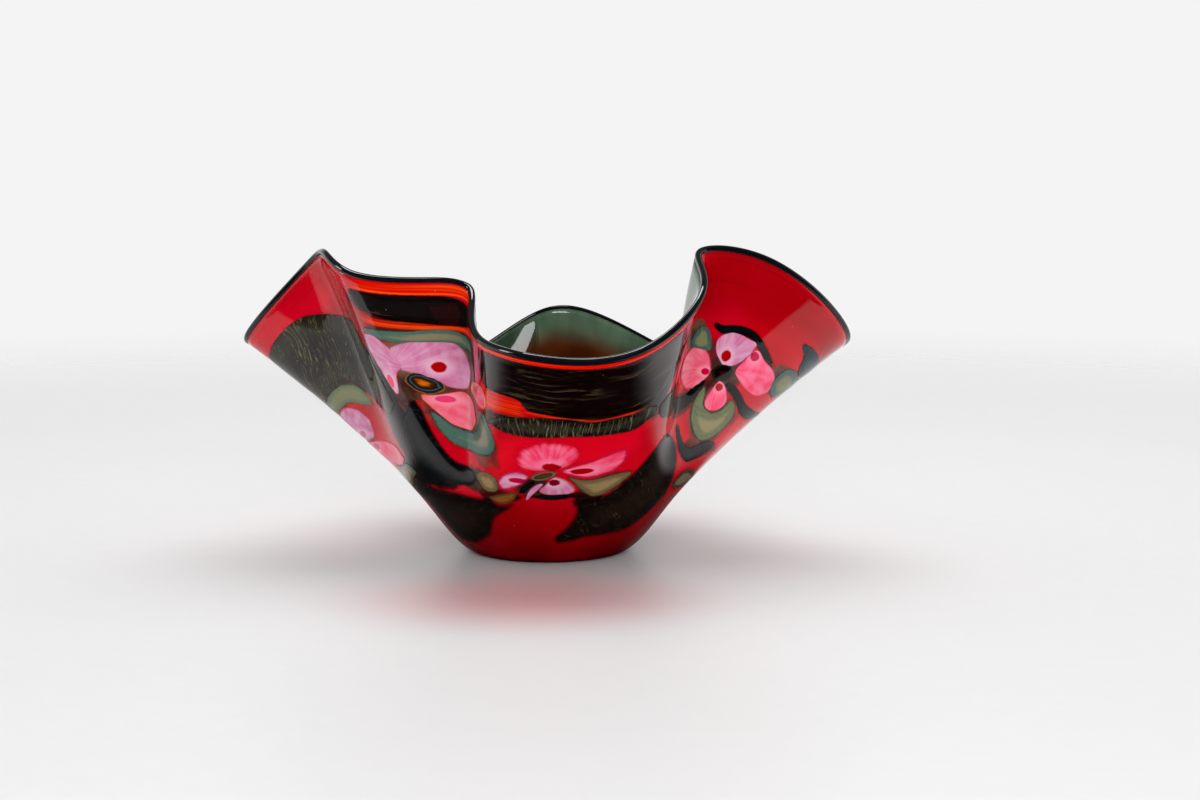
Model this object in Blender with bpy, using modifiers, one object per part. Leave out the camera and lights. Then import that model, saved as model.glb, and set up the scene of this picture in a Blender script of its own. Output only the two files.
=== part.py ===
"""A ruffled art-glass bowl, blown, laid with glass flowers and swung open at the rim.

Metres, +Z up, the origin at the middle of the flat foot, the front facing -Y and +X to the
right. The wall is one swept surface: a round foot and belly that open into a rim of lobes
and folds. The inner casing, the ruby wall, the lip wrap and every laid-on piece of glass
follow that one surface. Laid-on pieces are cut on a flat pattern, once round the rim across
and foot to lip up, and rolled on to the wall.
"""
import math

import bmesh
import bpy
import numpy as np
from mathutils import Vector
from mathutils.geometry import delaunay_2d_cdt

MM = 0.001

# Driving dimensions, in millimetres and degrees.
WIDEST_REACH = 178.5        # axis to the rim at the widest lobe
HIGHEST_RIM = 182.0         # foot to the rim at the highest fold
FOOT_RADIUS = 41.0          # flat, polished foot
FOOT_ROLL = 14.0            # how far the foot runs out before the wall turns up
BELLY_RADIUS = 81.0         # round part of the wall, under the ruffles
BELLY_HEIGHT = 39.0
BELLY_SLOPE = 47.0          # lean of the wall at the belly, from level
BELLY_ROLL = 22.0           # length of the belly's curve, down towards the foot
SHOULDER_ROLL = 26.0        # length of the belly's curve, up towards the rim
RIM_ROLL = 0.36             # share of a lobe's run that follows its end slope
RIM_FLARE = 5.0             # how much flatter the wall is at the rim
RUBY_WALL = 1.6
INNER_CASING = 1.4
LIP_HEIGHT = 3.2            # black trail wrapped on the rim
LIP_PROUD = 0.35            # how far the trail stands out past each side of the wall
LIP_ROUND = 1.2
LAID_ON = 0.6               # thickness of petals, leaves and vines
SKIN = 0.3                  # clearance between glass pieces that touch

# The rim as it was swung out: angle from the front towards the right, reach as a share of
# WIDEST_REACH, height as a share of HIGHEST_RIM.
RIM_ROWS = [
    (8.0, 0.896, 0.709),        # front lobe
    (24.5, 0.854, 0.758),
    (42.0, 0.756, 0.929),
    (50.5, 0.641, 1.000),       # right front fold
    (63.0, 0.773, 0.986),
    (82.5, 0.994, 0.734),       # right lobe
    (94.5, 0.958, 0.657),
    (116.0, 0.728, 0.549),      # right back fold
    (145.0, 0.868, 0.533),      # right back lobe
    (180.0, 0.717, 0.731),      # back fold, seen over the front lobe
    (215.0, 0.868, 0.484),      # left back lobe
    (243.0, 0.728, 0.703),      # left back fold
    (262.5, 0.947, 0.684),
    (273.0, 1.000, 0.712),      # left lobe
    (286.0, 0.818, 0.945),
    (295.0, 0.793, 1.000),      # left fold
    (308.0, 0.784, 0.945),      # left front lobe
    (321.0, 0.605, 0.923),
    (331.0, 0.504, 0.890),      # left front fold
    (338.0, 0.627, 0.808),
    (350.5, 0.818, 0.739),
]

COLUMNS = 66                # facets round the wall
TURN_STEP = 22.0            # millimetres of rim that a bend of one radian counts as
FOOT_RINGS = 3              # facets up the wall, foot to belly
LOBE_RINGS = 5              # facets up the wall, belly to rim
BELLY_SHARE = 0.4           # share of the way up the pattern where the belly lies

PATTERN_WIDTH = 1166.0      # the flat pattern: once round the rim, 0 at the front
PATTERN_HEIGHT = 200.0      # foot to lip
CURVE_STEPS = 2             # straight steps between two points of a cut edge
PETAL_STEPS = 7             # straight steps along one side of a petal
RIM_STEPS = 1440            # steps that measure the rim's length
FLAT_MERGE = 0.1            # points of a cut closer than this become one


# ---- The wall's surface ---------------------------------------------------------------

def ring_spline(angles, values, wanted):
    """Smooth closed curve through the values at the angles, read at the wanted angles."""
    count = len(angles)
    gaps = np.diff(np.append(angles, angles[0] + 360.0))
    matrix = np.zeros((count, count))
    for k in range(count):
        matrix[k, k - 1] += gaps[k - 1]
        matrix[k, k] += 2.0 * (gaps[k - 1] + gaps[k])
        matrix[k, (k + 1) % count] += gaps[k]
    following = np.roll(values, -1)
    slopes = (following - values) / gaps
    bends = np.linalg.solve(matrix, 6.0 * (slopes - np.roll(slopes, 1)))
    next_bends = np.roll(bends, -1)
    place = np.mod(wanted - angles[0], 360.0) + angles[0]
    k = np.clip(np.searchsorted(angles, place, side="right") - 1, 0, count - 1)
    after = place - angles[k]
    before = gaps[k] - after
    return (bends[k] * before ** 3 / (6.0 * gaps[k]) + next_bends[k] * after ** 3 / (6.0 * gaps[k])
            + (values[k] / gaps[k] - bends[k] * gaps[k] / 6.0) * before
            + (following[k] / gaps[k] - next_bends[k] * gaps[k] / 6.0) * after)


def rim_at(angles):
    """Reach and height of the rim, in millimetres."""
    rows = np.array(RIM_ROWS)
    reach = ring_spline(rows[:, 0], rows[:, 1] * WIDEST_REACH, angles)
    height = ring_spline(rows[:, 0], rows[:, 2] * HIGHEST_RIM, angles)
    return reach, height


def bezier(share, points):
    """Point on a cubic curve with four control points."""
    rest = 1.0 - share
    weights = (rest ** 3, 3 * rest * rest * share, 3 * rest * share * share, share ** 3)
    return tuple(sum(w * p[axis] for w, p in zip(weights, points)) for axis in (0, 1))


def wall_section(up, reach, height):
    """Radius and height of the outer face at a share of the way up to one rim point."""
    lean = math.radians(BELLY_SLOPE)
    level = math.cos(lean)
    rise = math.sin(lean)
    belly = (BELLY_RADIUS, BELLY_HEIGHT)
    if up <= BELLY_SHARE:
        under = (BELLY_RADIUS - BELLY_ROLL * level, BELLY_HEIGHT - BELLY_ROLL * rise)
        return bezier(up / BELLY_SHARE,
                      ((FOOT_RADIUS, 0.0), (FOOT_RADIUS + FOOT_ROLL, 0.0), under, belly))
    run = math.hypot(reach - belly[0], height - belly[1])
    end = math.atan2(height - belly[1], reach - belly[0]) - math.radians(RIM_FLARE)
    over = (BELLY_RADIUS + SHOULDER_ROLL * level, BELLY_HEIGHT + SHOULDER_ROLL * rise)
    before_rim = (reach - RIM_ROLL * run * math.cos(end), height - RIM_ROLL * run * math.sin(end))
    return bezier((up - BELLY_SHARE) / (1.0 - BELLY_SHARE),
                  (belly, over, before_rim, (reach, height)))


def lay_columns():
    """Angles of the wall's columns, and the share of the rim's length at each."""
    angles = np.linspace(0.0, 360.0, RIM_STEPS + 1)
    reach, height = rim_at(angles)
    turn = np.radians(angles)
    rim = np.stack([reach * np.sin(turn), -reach * np.cos(turn), height], axis=1)
    steps = np.diff(rim, axis=0)
    lengths = np.linalg.norm(steps, axis=1)
    headings = steps / lengths[:, None]
    bends = np.arccos(np.clip(np.sum(headings * np.roll(headings, -1, axis=0), axis=1), -1, 1))
    counted = np.concatenate([[0.0], np.cumsum(lengths + TURN_STEP * bends)])
    along = np.concatenate([[0.0], np.cumsum(lengths)])
    marks = np.linspace(0.0, counted[-1], COLUMNS + 1)[:-1]
    return np.interp(marks, counted, angles), np.interp(marks, counted, along) / along[-1]


def build_grid():
    """Outer-face points of the wall in metres, rings by columns."""
    reach, height = rim_at(COLUMN_ANGLES)
    grid = np.zeros((len(RINGS), COLUMNS, 3))
    for ring, up in enumerate(RINGS):
        for column in range(COLUMNS):
            radius, rise = wall_section(up, reach[column], height[column])
            turn = math.radians(COLUMN_ANGLES[column])
            grid[ring, column] = (radius * math.sin(turn), -radius * math.cos(turn), rise)
    return grid * MM


def unit(rows):
    return rows / np.maximum(np.linalg.norm(rows, axis=-1, keepdims=True), 1e-12)


def outward_vectors():
    """At each point of the grid, the way out that moves all its facets out by about one."""
    right = np.roll(GRID, -1, axis=1)
    first = unit(np.cross(right[:-1] - GRID[:-1], right[1:] - GRID[:-1]))
    second = unit(np.cross(right[1:] - GRID[:-1], GRID[1:] - GRID[:-1]))
    facing = []
    for facets, up, across in ((first, 0, 0), (first, 0, 1), (first, 1, 1),
                               (second, 0, 0), (second, 1, 1), (second, 1, 0)):
        placed = np.zeros_like(GRID)
        placed[up:up + len(facets)] = np.roll(facets, across, axis=1)
        facing.append(placed)
    foot = np.zeros_like(GRID)
    foot[0] = (0.0, 0.0, -1.0)
    facing = np.array(facing + [foot])
    mean = unit(facing.sum(axis=0))
    touching = (np.linalg.norm(facing, axis=-1) > 0.5).sum(axis=0)
    return mean * (touching / (facing * mean).sum(axis=(0, -1)))[..., None]


COLUMN_ANGLES, COLUMN_SHARES = lay_columns()
RINGS = np.concatenate([np.linspace(0.0, BELLY_SHARE, FOOT_RINGS + 1),
                        np.linspace(BELLY_SHARE, 1.0, LOBE_RINGS + 1)[1:]])
GRID = build_grid()
OUTWARD = outward_vectors()
ACROSS = np.concatenate([COLUMN_SHARES - 1.0, COLUMN_SHARES, COLUMN_SHARES + 1.0]) * PATTERN_WIDTH
UP = RINGS * PATTERN_HEIGHT


def grid_at(distance):
    """The grid moved out from the outer face by a distance in millimetres."""
    return GRID + OUTWARD * (distance * MM)


def on_wall(grid, across, up):
    """Point of a faceted face under a point of the flat pattern."""
    column = int(np.clip(np.searchsorted(ACROSS, across, side="right") - 1, 0, len(ACROSS) - 2))
    ring = int(np.clip(np.searchsorted(UP, up, side="right") - 1, 0, len(UP) - 2))
    a = (across - ACROSS[column]) / (ACROSS[column + 1] - ACROSS[column])
    b = (up - UP[ring]) / (UP[ring + 1] - UP[ring])
    left = column % COLUMNS
    right = (column + 1) % COLUMNS
    low = grid[ring, left]
    high = grid[ring + 1, right]
    if a >= b:
        return low * (1.0 - a) + grid[ring, right] * (a - b) + high * b
    return low * (1.0 - b) + grid[ring + 1, left] * (b - a) + high * a


# ---- Making objects ---------------------------------------------------------------------

def clear_scene():
    for item in list(bpy.data.objects):
        bpy.data.objects.remove(item, do_unlink=True)


def glass(name, colour, roughness=0.06):
    """Principled glass colour for one piece."""
    material = bpy.data.materials.new(name)
    material.use_nodes = True
    shader = material.node_tree.nodes["Principled BSDF"]
    shader.inputs["Base Color"].default_value = (*colour, 1.0)
    shader.inputs["Roughness"].default_value = roughness
    shader.inputs["Metallic"].default_value = 0.0
    return material


def add_piece(name, mesh_data, colour):
    """Object from a bmesh, in the bowl's collection, in its own glass."""
    mesh = bpy.data.meshes.new(name)
    mesh_data.to_mesh(mesh)
    mesh_data.free()
    mesh.materials.append(glass(name + "_glass", colour))
    mesh.shade_smooth()
    piece = bpy.data.objects.new(name, mesh)
    BOWL.objects.link(piece)
    return piece


def strip_between(body, lower, upper):
    """Facets between two closed rings of points."""
    for column in range(COLUMNS):
        following = (column + 1) % COLUMNS
        body.faces.new((lower[column], lower[following], upper[following]))
        body.faces.new((lower[column], upper[following], upper[column]))


def wall_body(inner, outer):
    """Whole wall, foot included, between two distances from the outer face."""
    body = bmesh.new()
    rims = []
    for distance in (inner, outer):
        hub = body.verts.new((0.0, 0.0, -distance * MM))
        rings = [[body.verts.new(point) for point in ring] for ring in grid_at(distance)]
        for column in range(COLUMNS):
            body.faces.new((hub, rings[0][(column + 1) % COLUMNS], rings[0][column]))
        for lower, upper in zip(rings, rings[1:]):
            strip_between(body, lower, upper)
        rims.append(rings[-1])
    strip_between(body, rims[1], rims[0])
    bmesh.ops.recalc_face_normals(body, faces=body.faces)
    return body


def lip_body(inner, outer):
    """Trail that carries the wall on past the rim, a clearance above it."""
    body = bmesh.new()
    climb = unit(GRID[-1] - GRID[-2])
    corners = []
    for distance, above in ((outer, SKIN), (inner, SKIN), (inner, SKIN + LIP_HEIGHT),
                            (outer, SKIN + LIP_HEIGHT)):
        ring = grid_at(distance)[-1] + climb * (above * MM)
        corners.append([body.verts.new(point) for point in ring])
    for lower, upper in zip(corners, corners[1:] + corners[:1]):
        strip_between(body, lower, upper)
    bmesh.ops.recalc_face_normals(body, faces=body.faces)
    return body


# ---- Cutting on the flat pattern -----------------------------------------------------------

def curve_through(points, steps=CURVE_STEPS):
    """Smooth open curve through the points, with some straight steps between each two."""
    line = [Vector(point) for point in points]
    line = [2 * line[0] - line[1]] + line + [2 * line[-1] - line[-2]]
    result = []
    for before, start, end, after in zip(line, line[1:], line[2:], line[3:]):
        for k in range(steps):
            q = k / steps
            result.append(0.5 * (2 * start + (end - before) * q
                                 + (2 * before - 5 * start + 4 * end - after) * q ** 2
                                 + (3 * start - before - 3 * end + after) * q ** 3))
    return result + [line[-2]]


def lens(first_edge, second_edge):
    """Cut shape between two edges that share their first and last points."""
    there = curve_through(first_edge)
    back = curve_through(second_edge)
    return there + back[-2:0:-1]


def stroke(rows):
    """Tapered trail of glass along rows of across, up and half width."""
    line = curve_through([Vector(row) for row in rows])
    sides = ([], [])
    for k, point in enumerate(line[1:-1], start=1):
        heading = (line[k + 1] - line[k - 1]).to_2d().normalized()
        side = Vector((-heading.y, heading.x)) * max(point.z, 0.0)
        sides[0].append(point.to_2d() + side)
        sides[1].append(point.to_2d() - side)
    return [line[0].to_2d()] + sides[0] + [line[-1].to_2d()] + sides[1][::-1]


def petal(root, tip, half_width):
    """Teardrop petal, pointed at its root and round at its tip."""
    root = Vector(root)
    length = Vector(tip) - root
    side = Vector((-length.y, length.x)).normalized() * half_width
    sides = ([], [])
    for k in range(1, PETAL_STEPS):
        share = math.sin(k / PETAL_STEPS * math.pi / 2) ** 2
        share = 0.5 * (share + k / PETAL_STEPS)
        swell = 2.6 * share * math.sqrt(1.0 - share)
        sides[0].append(root + length * share + side * swell)
        sides[1].append(root + length * share - side * swell)
    return [root] + sides[0] + [root + length] + sides[1][::-1]


def pattern_lines(outline):
    """Points and edges of the wall's facets, on the pattern, round one outline."""
    low = [min(point[axis] for point in outline) for axis in (0, 1)]
    high = [max(point[axis] for point in outline) for axis in (0, 1)]
    columns = range(int(np.searchsorted(ACROSS, low[0])) - 1,
                    int(np.searchsorted(ACROSS, high[0])) + 1)
    rings = range(max(int(np.searchsorted(UP, low[1])) - 1, 0),
                  min(int(np.searchsorted(UP, high[1])) + 1, len(UP)))
    number = {cell: k for k, cell in enumerate((c, r) for c in columns for r in rings)}
    points = [Vector((ACROSS[c], UP[r])) for c, r in number]
    edges = [(k, number[near]) for (c, r), k in number.items()
             for near in ((c + 1, r), (c, r + 1), (c + 1, r + 1)) if near in number]
    return points, edges


def laid_body(outline, inner, outer):
    """Cuts an outline from flat sheet and rolls it on to the wall's facets."""
    around = sum(a.x * b.y - b.x * a.y for a, b in zip(outline, outline[1:] + outline[:1]))
    if around < 0.0:
        outline = outline[::-1]
    points, edges = pattern_lines(outline)
    first = len(points)
    border = list(range(first, first + len(outline)))
    points += [Vector(point).to_2d() for point in outline]
    flat, _, faces, _, _, sources = delaunay_2d_cdt(points, edges, [border], 0, FLAT_MERGE / 5)
    body = bmesh.new()
    verts = [body.verts.new((point[0], point[1], 0.0)) for point in flat]
    for face, source in zip(faces, sources):
        if source:
            body.faces.new([verts[k] for k in face])
    loose = [vert for vert in body.verts if not vert.link_faces]
    bmesh.ops.delete(body, geom=loose, context="VERTS")
    bmesh.ops.remove_doubles(body, verts=body.verts, dist=FLAT_MERGE)
    raised = bmesh.ops.extrude_face_region(body, geom=body.faces[:], use_keep_orig=True)
    for vert in raised["geom"]:
        if isinstance(vert, bmesh.types.BMVert):
            vert.co.z = 1.0
    bmesh.ops.recalc_face_normals(body, faces=body.faces)
    grids = (grid_at(inner), grid_at(outer))
    for vert in body.verts:
        vert.co = on_wall(grids[vert.co.z > 0.5], vert.co.x, vert.co.y)
    return body


# ---- The laid-on glass ------------------------------------------------------------------------

PINK = (0.85, 0.16, 0.28)
LILAC = (0.72, 0.34, 0.50)
CORAL = (0.85, 0.22, 0.18)
BLACK = (0.012, 0.010, 0.010)
UMBER = (0.045, 0.028, 0.018)
OLIVE = (0.20, 0.19, 0.11)
TEAL = (0.09, 0.16, 0.15)
TAN = (0.35, 0.25, 0.14)
EYE = (0.06, 0.05, 0.04)

FRONT_GLASS = {
    "front_flower_centre": (EYE, stroke(
        [(-14, 111.5, 0), (-7, 113, 2.6), (3, 115.2, 2.6), (11, 117, 0)])),
    "front_petal_top": (PINK, lens(
        [(3, 119), (-12, 117.8), (-23, 119.5), (-27, 126), (-19, 135), (0, 141.5)],
        [(3, 119), (14, 121.5), (24, 126), (28, 133), (21, 140), (0, 141.5)])),
    "front_petal_right": (PINK, lens(
        [(15, 118.8), (26, 122.5), (40, 126), (60, 130.5), (72, 130), (75, 125)],
        [(15, 118.8), (25, 115.5), (40, 112.5), (58, 114.8), (70, 119), (75, 125)])),
    "front_petal_left": (LILAC, lens(
        [(-16, 113.4), (-27, 116), (-42, 113), (-52, 107.5), (-54, 104)],
        [(-16, 113.4), (-25, 106.5), (-38, 101.5), (-49, 100.8), (-54, 104)])),
    "front_petal_bottom": (LILAC, lens(
        [(9, 113), (1, 105.5), (-5, 100.3), (-1, 97.3), (8, 96.3)],
        [(9, 113), (18, 110.5), (28, 103), (25, 97.8), (8, 96.3)])),
    "front_petal_curl": (LILAC, stroke(
        [(-2, 107.5, 0), (-9, 103, 1.8), (-16, 97, 1.6), (-22, 89, 0)])),
    "front_calyx_left": (BLACK, stroke(
        [(-9, 109.8, 0), (-17, 104.8, 1.8), (-24, 100, 1.8), (-29, 96.5, 0)])),
    "front_calyx": (BLACK, stroke(
        [(-13, 93.5, 0), (0, 92.8, 1.7), (10, 92.5, 2), (21, 93.6, 1.5), (30, 96, 0)])),
    "front_leaf_left": (TAN, lens(
        [(-95, 107), (-85, 111), (-70, 111.5), (-59, 109.5), (-56.5, 104)],
        [(-95, 107), (-84, 99), (-70, 96.3), (-59, 98.5), (-56.5, 104)])),
    "front_leaf_low": (TAN, lens(
        [(-76, 90.5), (-62, 93.3), (-46, 96), (-33, 98.3)],
        [(-76, 90.5), (-63, 85.2), (-50, 85.2), (-39, 90), (-33, 98.3)])),
    "front_leaf_right": (TAN, lens(
        [(21, 114.2), (32, 110.8), (45, 109.8), (62, 112), (76, 112.6), (90, 111.5)],
        [(21, 114.2), (30, 106.5), (40, 98.5), (52, 93), (68, 98), (90, 111.5)])),
    "front_vine": (UMBER, lens(
        [(36, 96), (50, 90), (70, 95), (90, 108), (112, 121), (135, 126), (157, 121), (169, 108),
         (172, 95)],
        [(36, 96), (38, 82), (36, 68), (24, 56), (13, 50), (16, 43.5), (35, 45), (60, 49),
         (100, 50.5), (145, 55), (168, 72), (172, 95)])),
    "front_shade": (UMBER, lens(
        [(-52, 183), (-38, 192), (0, 194), (40, 191), (65, 191.5), (88, 189), (98, 176)],
        [(-52, 183), (-48, 172.5), (-30, 171), (-17, 169.5), (-11, 163.8), (5, 162), (25, 159.8),
         (38, 157.8), (60, 158.3), (85, 160), (98, 176)])),
    "front_fringe": (OLIVE, lens(
        [(-52, 149), (-35, 153.8), (-10, 157), (10, 157.5), (30, 155), (50, 154.5), (76, 154.5),
         (96, 150)],
        [(-52, 149), (-35, 145.6), (-15, 144.8), (5, 146), (20, 147), (50, 146), (76, 144.4),
         (96, 150)])),
}

LEFT_FRONT_GLASS = {
    "left_front_shade": (UMBER, lens(
        [(-180, 188), (-165, 191), (-140, 191.3), (-118, 190.5), (-103, 186)],
        [(-180, 188), (-165, 183.3), (-145, 181), (-125, 180.6), (-103, 186)])),
    "left_front_leaf_top": (TEAL, lens(
        [(-188, 173), (-170, 174.6), (-150, 175.6), (-130, 176.8), (-112, 176), (-98, 172)],
        [(-188, 173), (-170, 172), (-150, 171.4), (-130, 171.8), (-112, 171.4), (-98, 172)])),
    "left_front_eye": (EYE, lens(
        [(-161, 153.5), (-152, 157.2), (-140, 156.3), (-130, 153.6), (-126, 150.8)],
        [(-161, 153.5), (-152, 150), (-140, 148.8), (-126, 150.8)])),
    "left_front_petal_left": (LILAC, lens(
        [(-162, 160), (-166, 166), (-177, 171), (-187, 169), (-188, 164)],
        [(-162, 160), (-168, 156.5), (-172, 147), (-179, 153), (-188, 164)])),
    "left_front_petal_top": (LILAC, lens(
        [(-157, 160.2), (-160, 165), (-148, 169.5), (-133, 170.2), (-117, 169.4), (-106, 162)],
        [(-157, 160.2), (-145, 158.6), (-133, 156.3), (-121, 153.5), (-110, 154.5), (-106, 162)])),
    "left_front_petal_low": (CORAL, lens(
        [(-150, 147), (-136, 146.8), (-122, 148), (-108, 149.5), (-93, 147.5), (-88, 142)],
        [(-150, 147), (-140, 142.5), (-130, 138.5), (-117, 134.5), (-102, 134.5), (-88, 142)])),
    "left_front_petal_right": (CORAL, lens(
        [(-103, 154), (-94, 159), (-76, 164.5), (-60, 167.5), (-55, 163)],
        [(-103, 154), (-85, 154.2), (-68, 154.8), (-57, 157), (-55, 163)])),
    "left_front_leaf_low": (TEAL, lens(
        [(-143, 140.5), (-130, 136), (-116, 132), (-100, 132), (-84, 137), (-79, 148), (-64, 151),
         (-54, 143)],
        [(-143, 140.5), (-135, 132), (-120, 125), (-100, 123), (-75, 124), (-58, 127), (-50, 134),
         (-54, 143)])),
}

LEFT_GLASS = {
    "left_leaf_big": (UMBER, lens(
        [(-38, 86), (-50, 82.3), (-64, 82.3), (-80, 90), (-100, 88.5), (-120, 91), (-142, 92), (-168, 93),
         (-195, 96), (-207, 82)],
        [(-38, 86), (-48, 79), (-65, 73), (-85, 66), (-100, 56), (-118, 45), (-150, 38), (-185, 38),
         (-203, 52), (-207, 82)])),
    "left_vine": (BLACK, lens(
        [(-97.5, 106), (-106, 111), (-121, 114), (-136, 121), (-148, 131), (-157, 144)],
        [(-97.5, 106), (-106, 100.5), (-125, 98), (-142, 97), (-166, 98), (-178, 110), (-174, 130),
         (-157, 144)])),
    "left_leaf_dark": (UMBER, lens(
        [(-310, 185), (-285, 187.5), (-262, 186), (-245, 180.5), (-225, 173), (-208, 169.5), (-197, 161),
         (-188, 150), (-181, 141)],
        [(-310, 185), (-313, 168), (-300, 155), (-280, 154.2), (-262, 153.8), (-243, 149.5), (-229, 141),
         (-215, 135.5), (-195, 135), (-181, 141)])),
    "left_fringe": (OLIVE, lens(
        [(-312, 148.5), (-290, 151.8), (-270, 151.6), (-254, 149), (-242, 145), (-231, 137)],
        [(-312, 148.5), (-295, 145.5), (-270, 145), (-250, 140), (-231, 137)])),
    "left_flower_centre": (EYE, lens(
        [(-343, 127), (-336, 130.5), (-328, 130.5), (-321, 127)],
        [(-343, 127), (-336, 123.5), (-328, 123.5), (-321, 127)])),
    "left_petal_high": (LILAC, lens(
        [(-317, 129.5), (-308, 140), (-285, 142.6), (-265, 138), (-253, 131)],
        [(-317, 129.5), (-300, 125.5), (-275, 123.5), (-259, 125.5), (-253, 131)])),
    "left_petal_low": (PINK, lens(
        [(-317, 123.5), (-298, 121.5), (-270, 120), (-240, 117.5), (-216, 114.6), (-205, 110)],
        [(-317, 123.5), (-302, 112), (-277, 106), (-240, 104.5), (-217, 105.5), (-205, 110)])),
    "left_petal_back": (LILAC, petal((-347, 127), (-398, 131), 10.5)),
    "left_leaf_tan": (TAN, lens(
        [(-270, 97), (-245, 102), (-220, 103), (-201, 106), (-190, 103)],
        [(-270, 97), (-245, 91), (-220, 90), (-210, 95), (-190, 103)])),
}

RIGHT_GLASS = {
    "right_flower_centre": (EYE, lens(
        [(190, 151), (197, 153.8), (206, 154.2), (212, 152)],
        [(190, 151), (197, 148.6), (205, 148.6), (212, 152)])),
    "right_petal_top": (LILAC, lens(
        [(198, 155.6), (190, 159.5), (189, 164), (200, 167.5), (214, 167.2), (221, 168)],
        [(198, 155.6), (207, 156.2), (214, 158.8), (219, 163), (221, 168)])),
    "right_petal_right": (PINK, lens(
        [(214, 154), (219, 159), (225, 165), (236, 163), (250, 162), (260, 159.5), (264, 155)],
        [(214, 154), (226, 151.4), (240, 150), (255, 150.8), (264, 155)])),
    "right_petal_left": (CORAL, lens(
        [(188, 150.8), (182, 156.6), (172, 158), (166, 152.5)],
        [(188, 150.8), (181, 147.8), (172, 147.4), (166, 152.5)])),
    "right_petal_low": (PINK, lens(
        [(201, 147.2), (196, 143), (191.5, 138.5), (196, 136), (203, 135.4)],
        [(201, 147.2), (208, 146), (215, 143), (218.5, 140), (212, 136.6), (203, 135.4)])),
    "right_leaf_ring": (TEAL, lens(
        [(187, 144.5), (179, 139), (178, 131), (188, 123.8), (205, 120.5), (224, 122.8),
         (238, 129), (241, 135.5), (234, 140), (224, 141.5)],
        [(187, 144.5), (188.5, 139.5), (190, 136), (196, 133.8), (204, 133), (214, 134.2), (221, 137.5),
         (224, 141.5)])),
    "right_leaf_left": (OLIVE, lens(
        [(166, 163), (172, 167.6), (179, 166.3), (184, 160)],
        [(166, 163), (170, 160.3), (177, 159.6), (184, 160)])),
    "right_leaf_right": (OLIVE, lens(
        [(266, 162), (268, 166.8), (279, 168.6), (296, 167)],
        [(266, 162), (274, 159), (284, 160), (296, 167)])),
    "right_leaf_far": (TEAL, lens(
        [(257, 180.4), (270, 181.8), (290, 181.5), (306, 177)],
        [(257, 180.4), (268, 177.8), (275, 172.5), (288, 171.5), (306, 177)])),
    "right_stem_top": (BLACK, stroke(
        [(180, 170.5, 0), (189, 168.3, 1), (201, 169.8, 1.1), (216, 170.2, 1.1),
         (234, 166.4, 1.2), (250, 164, 0)])),
    "right_stem_low": (BLACK, stroke(
        [(209, 147.8, 0), (221, 146.3, 1.3), (235, 143.8, 1.6), (250, 141, 2), (272, 141, 2),
         (297, 145, 0)])),
    "right_vine": (BLACK, lens(
        [(99, 150), (110, 152.5), (122, 149.5), (142, 142.8), (163, 139.8), (175, 143.6), (186, 148)],
        [(99, 150), (106, 143), (122, 139), (145, 136.6), (163, 135.6), (175, 138.8), (186, 148)])),
    "right_vine_low": (BLACK, stroke(
        [(160, 130, 0), (172, 117, 2), (188, 112, 3.2), (206, 113.5, 4), (224, 116, 3.6),
         (246, 119, 0)])),
    "right_leaf_low": (TAN, lens(
        [(176, 94), (190, 100.8), (210, 102), (235, 100), (262, 96)],
        [(176, 94), (188, 89), (210, 88.5), (235, 90), (262, 96)])),
}

BACK_GLASS = {
    "back_right_centre": (EYE, stroke([(389, 150, 0), (396, 151, 2.8), (404, 151, 2.8), (411, 150, 0)])),
    "back_right_petal_top": (PINK, petal((400, 155.5), (402, 181), 20)),
    "back_right_petal_left": (LILAC, petal((385, 150), (345, 143), 9)),
    "back_right_petal_right": (LILAC, petal((415, 150), (455, 157), 9)),
    "back_right_petal_low": (PINK, petal((400, 146), (396, 124), 16)),
    "back_right_leaf": (UMBER, lens(
        [(352, 120), (372, 128), (385, 106), (420, 104), (440, 122), (470, 118), (486, 98)],
        [(352, 120), (350, 96), (366, 70), (400, 56), (440, 62), (468, 74), (486, 98)])),
    "back_left_centre": (EYE, stroke(
        [(-511, 134, 0), (-504, 135, 2.8), (-496, 135, 2.8), (-489, 134, 0)])),
    "back_left_petal_top": (PINK, petal((-500, 139.5), (-497, 163), 19)),
    "back_left_petal_left": (CORAL, petal((-515, 134), (-553, 140), 9)),
    "back_left_petal_right": (LILAC, petal((-485, 134), (-446, 128), 9)),
    "back_left_leaf": (UMBER, lens(
        [(-560, 104), (-535, 118), (-500, 126), (-466, 116), (-430, 112), (-412, 92)],
        [(-560, 104), (-552, 76), (-520, 60), (-480, 58), (-440, 66), (-412, 92)])),
    "back_shade": (UMBER, lens(
        [(300, 190), (340, 193), (420, 191), (500, 193), (560, 188)],
        [(300, 190), (335, 184.5), (420, 185.5), (500, 181), (560, 188)])),
}

# ---- The bowl ---------------------------------------------------------------------------------

clear_scene()
BOWL = bpy.data.collections.new("art_glass_bowl")
bpy.context.scene.collection.children.link(BOWL)

add_piece("ruby_wall", wall_body(-RUBY_WALL, 0.0), (0.55, 0.0, 0.012))

CASING_OUTER = -RUBY_WALL - SKIN
CASING_INNER = CASING_OUTER - INNER_CASING
add_piece("inner_casing", wall_body(CASING_INNER, CASING_OUTER), (0.05, 0.07, 0.055))

lip_wrap = add_piece("lip_wrap", lip_body(CASING_INNER - LIP_PROUD, LIP_PROUD), BLACK)
rounding = lip_wrap.modifiers.new("rounding", "BEVEL")
rounding.width = LIP_ROUND * MM
rounding.segments = 1
rounding.limit_method = "ANGLE"
rounding.angle_limit = math.radians(60)

for laid_on in (FRONT_GLASS, LEFT_FRONT_GLASS, LEFT_GLASS, RIGHT_GLASS, BACK_GLASS):
    for name, (colour, outline) in laid_on.items():
        add_piece(name, laid_body(outline, SKIN, SKIN + LAID_ON), colour)
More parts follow.
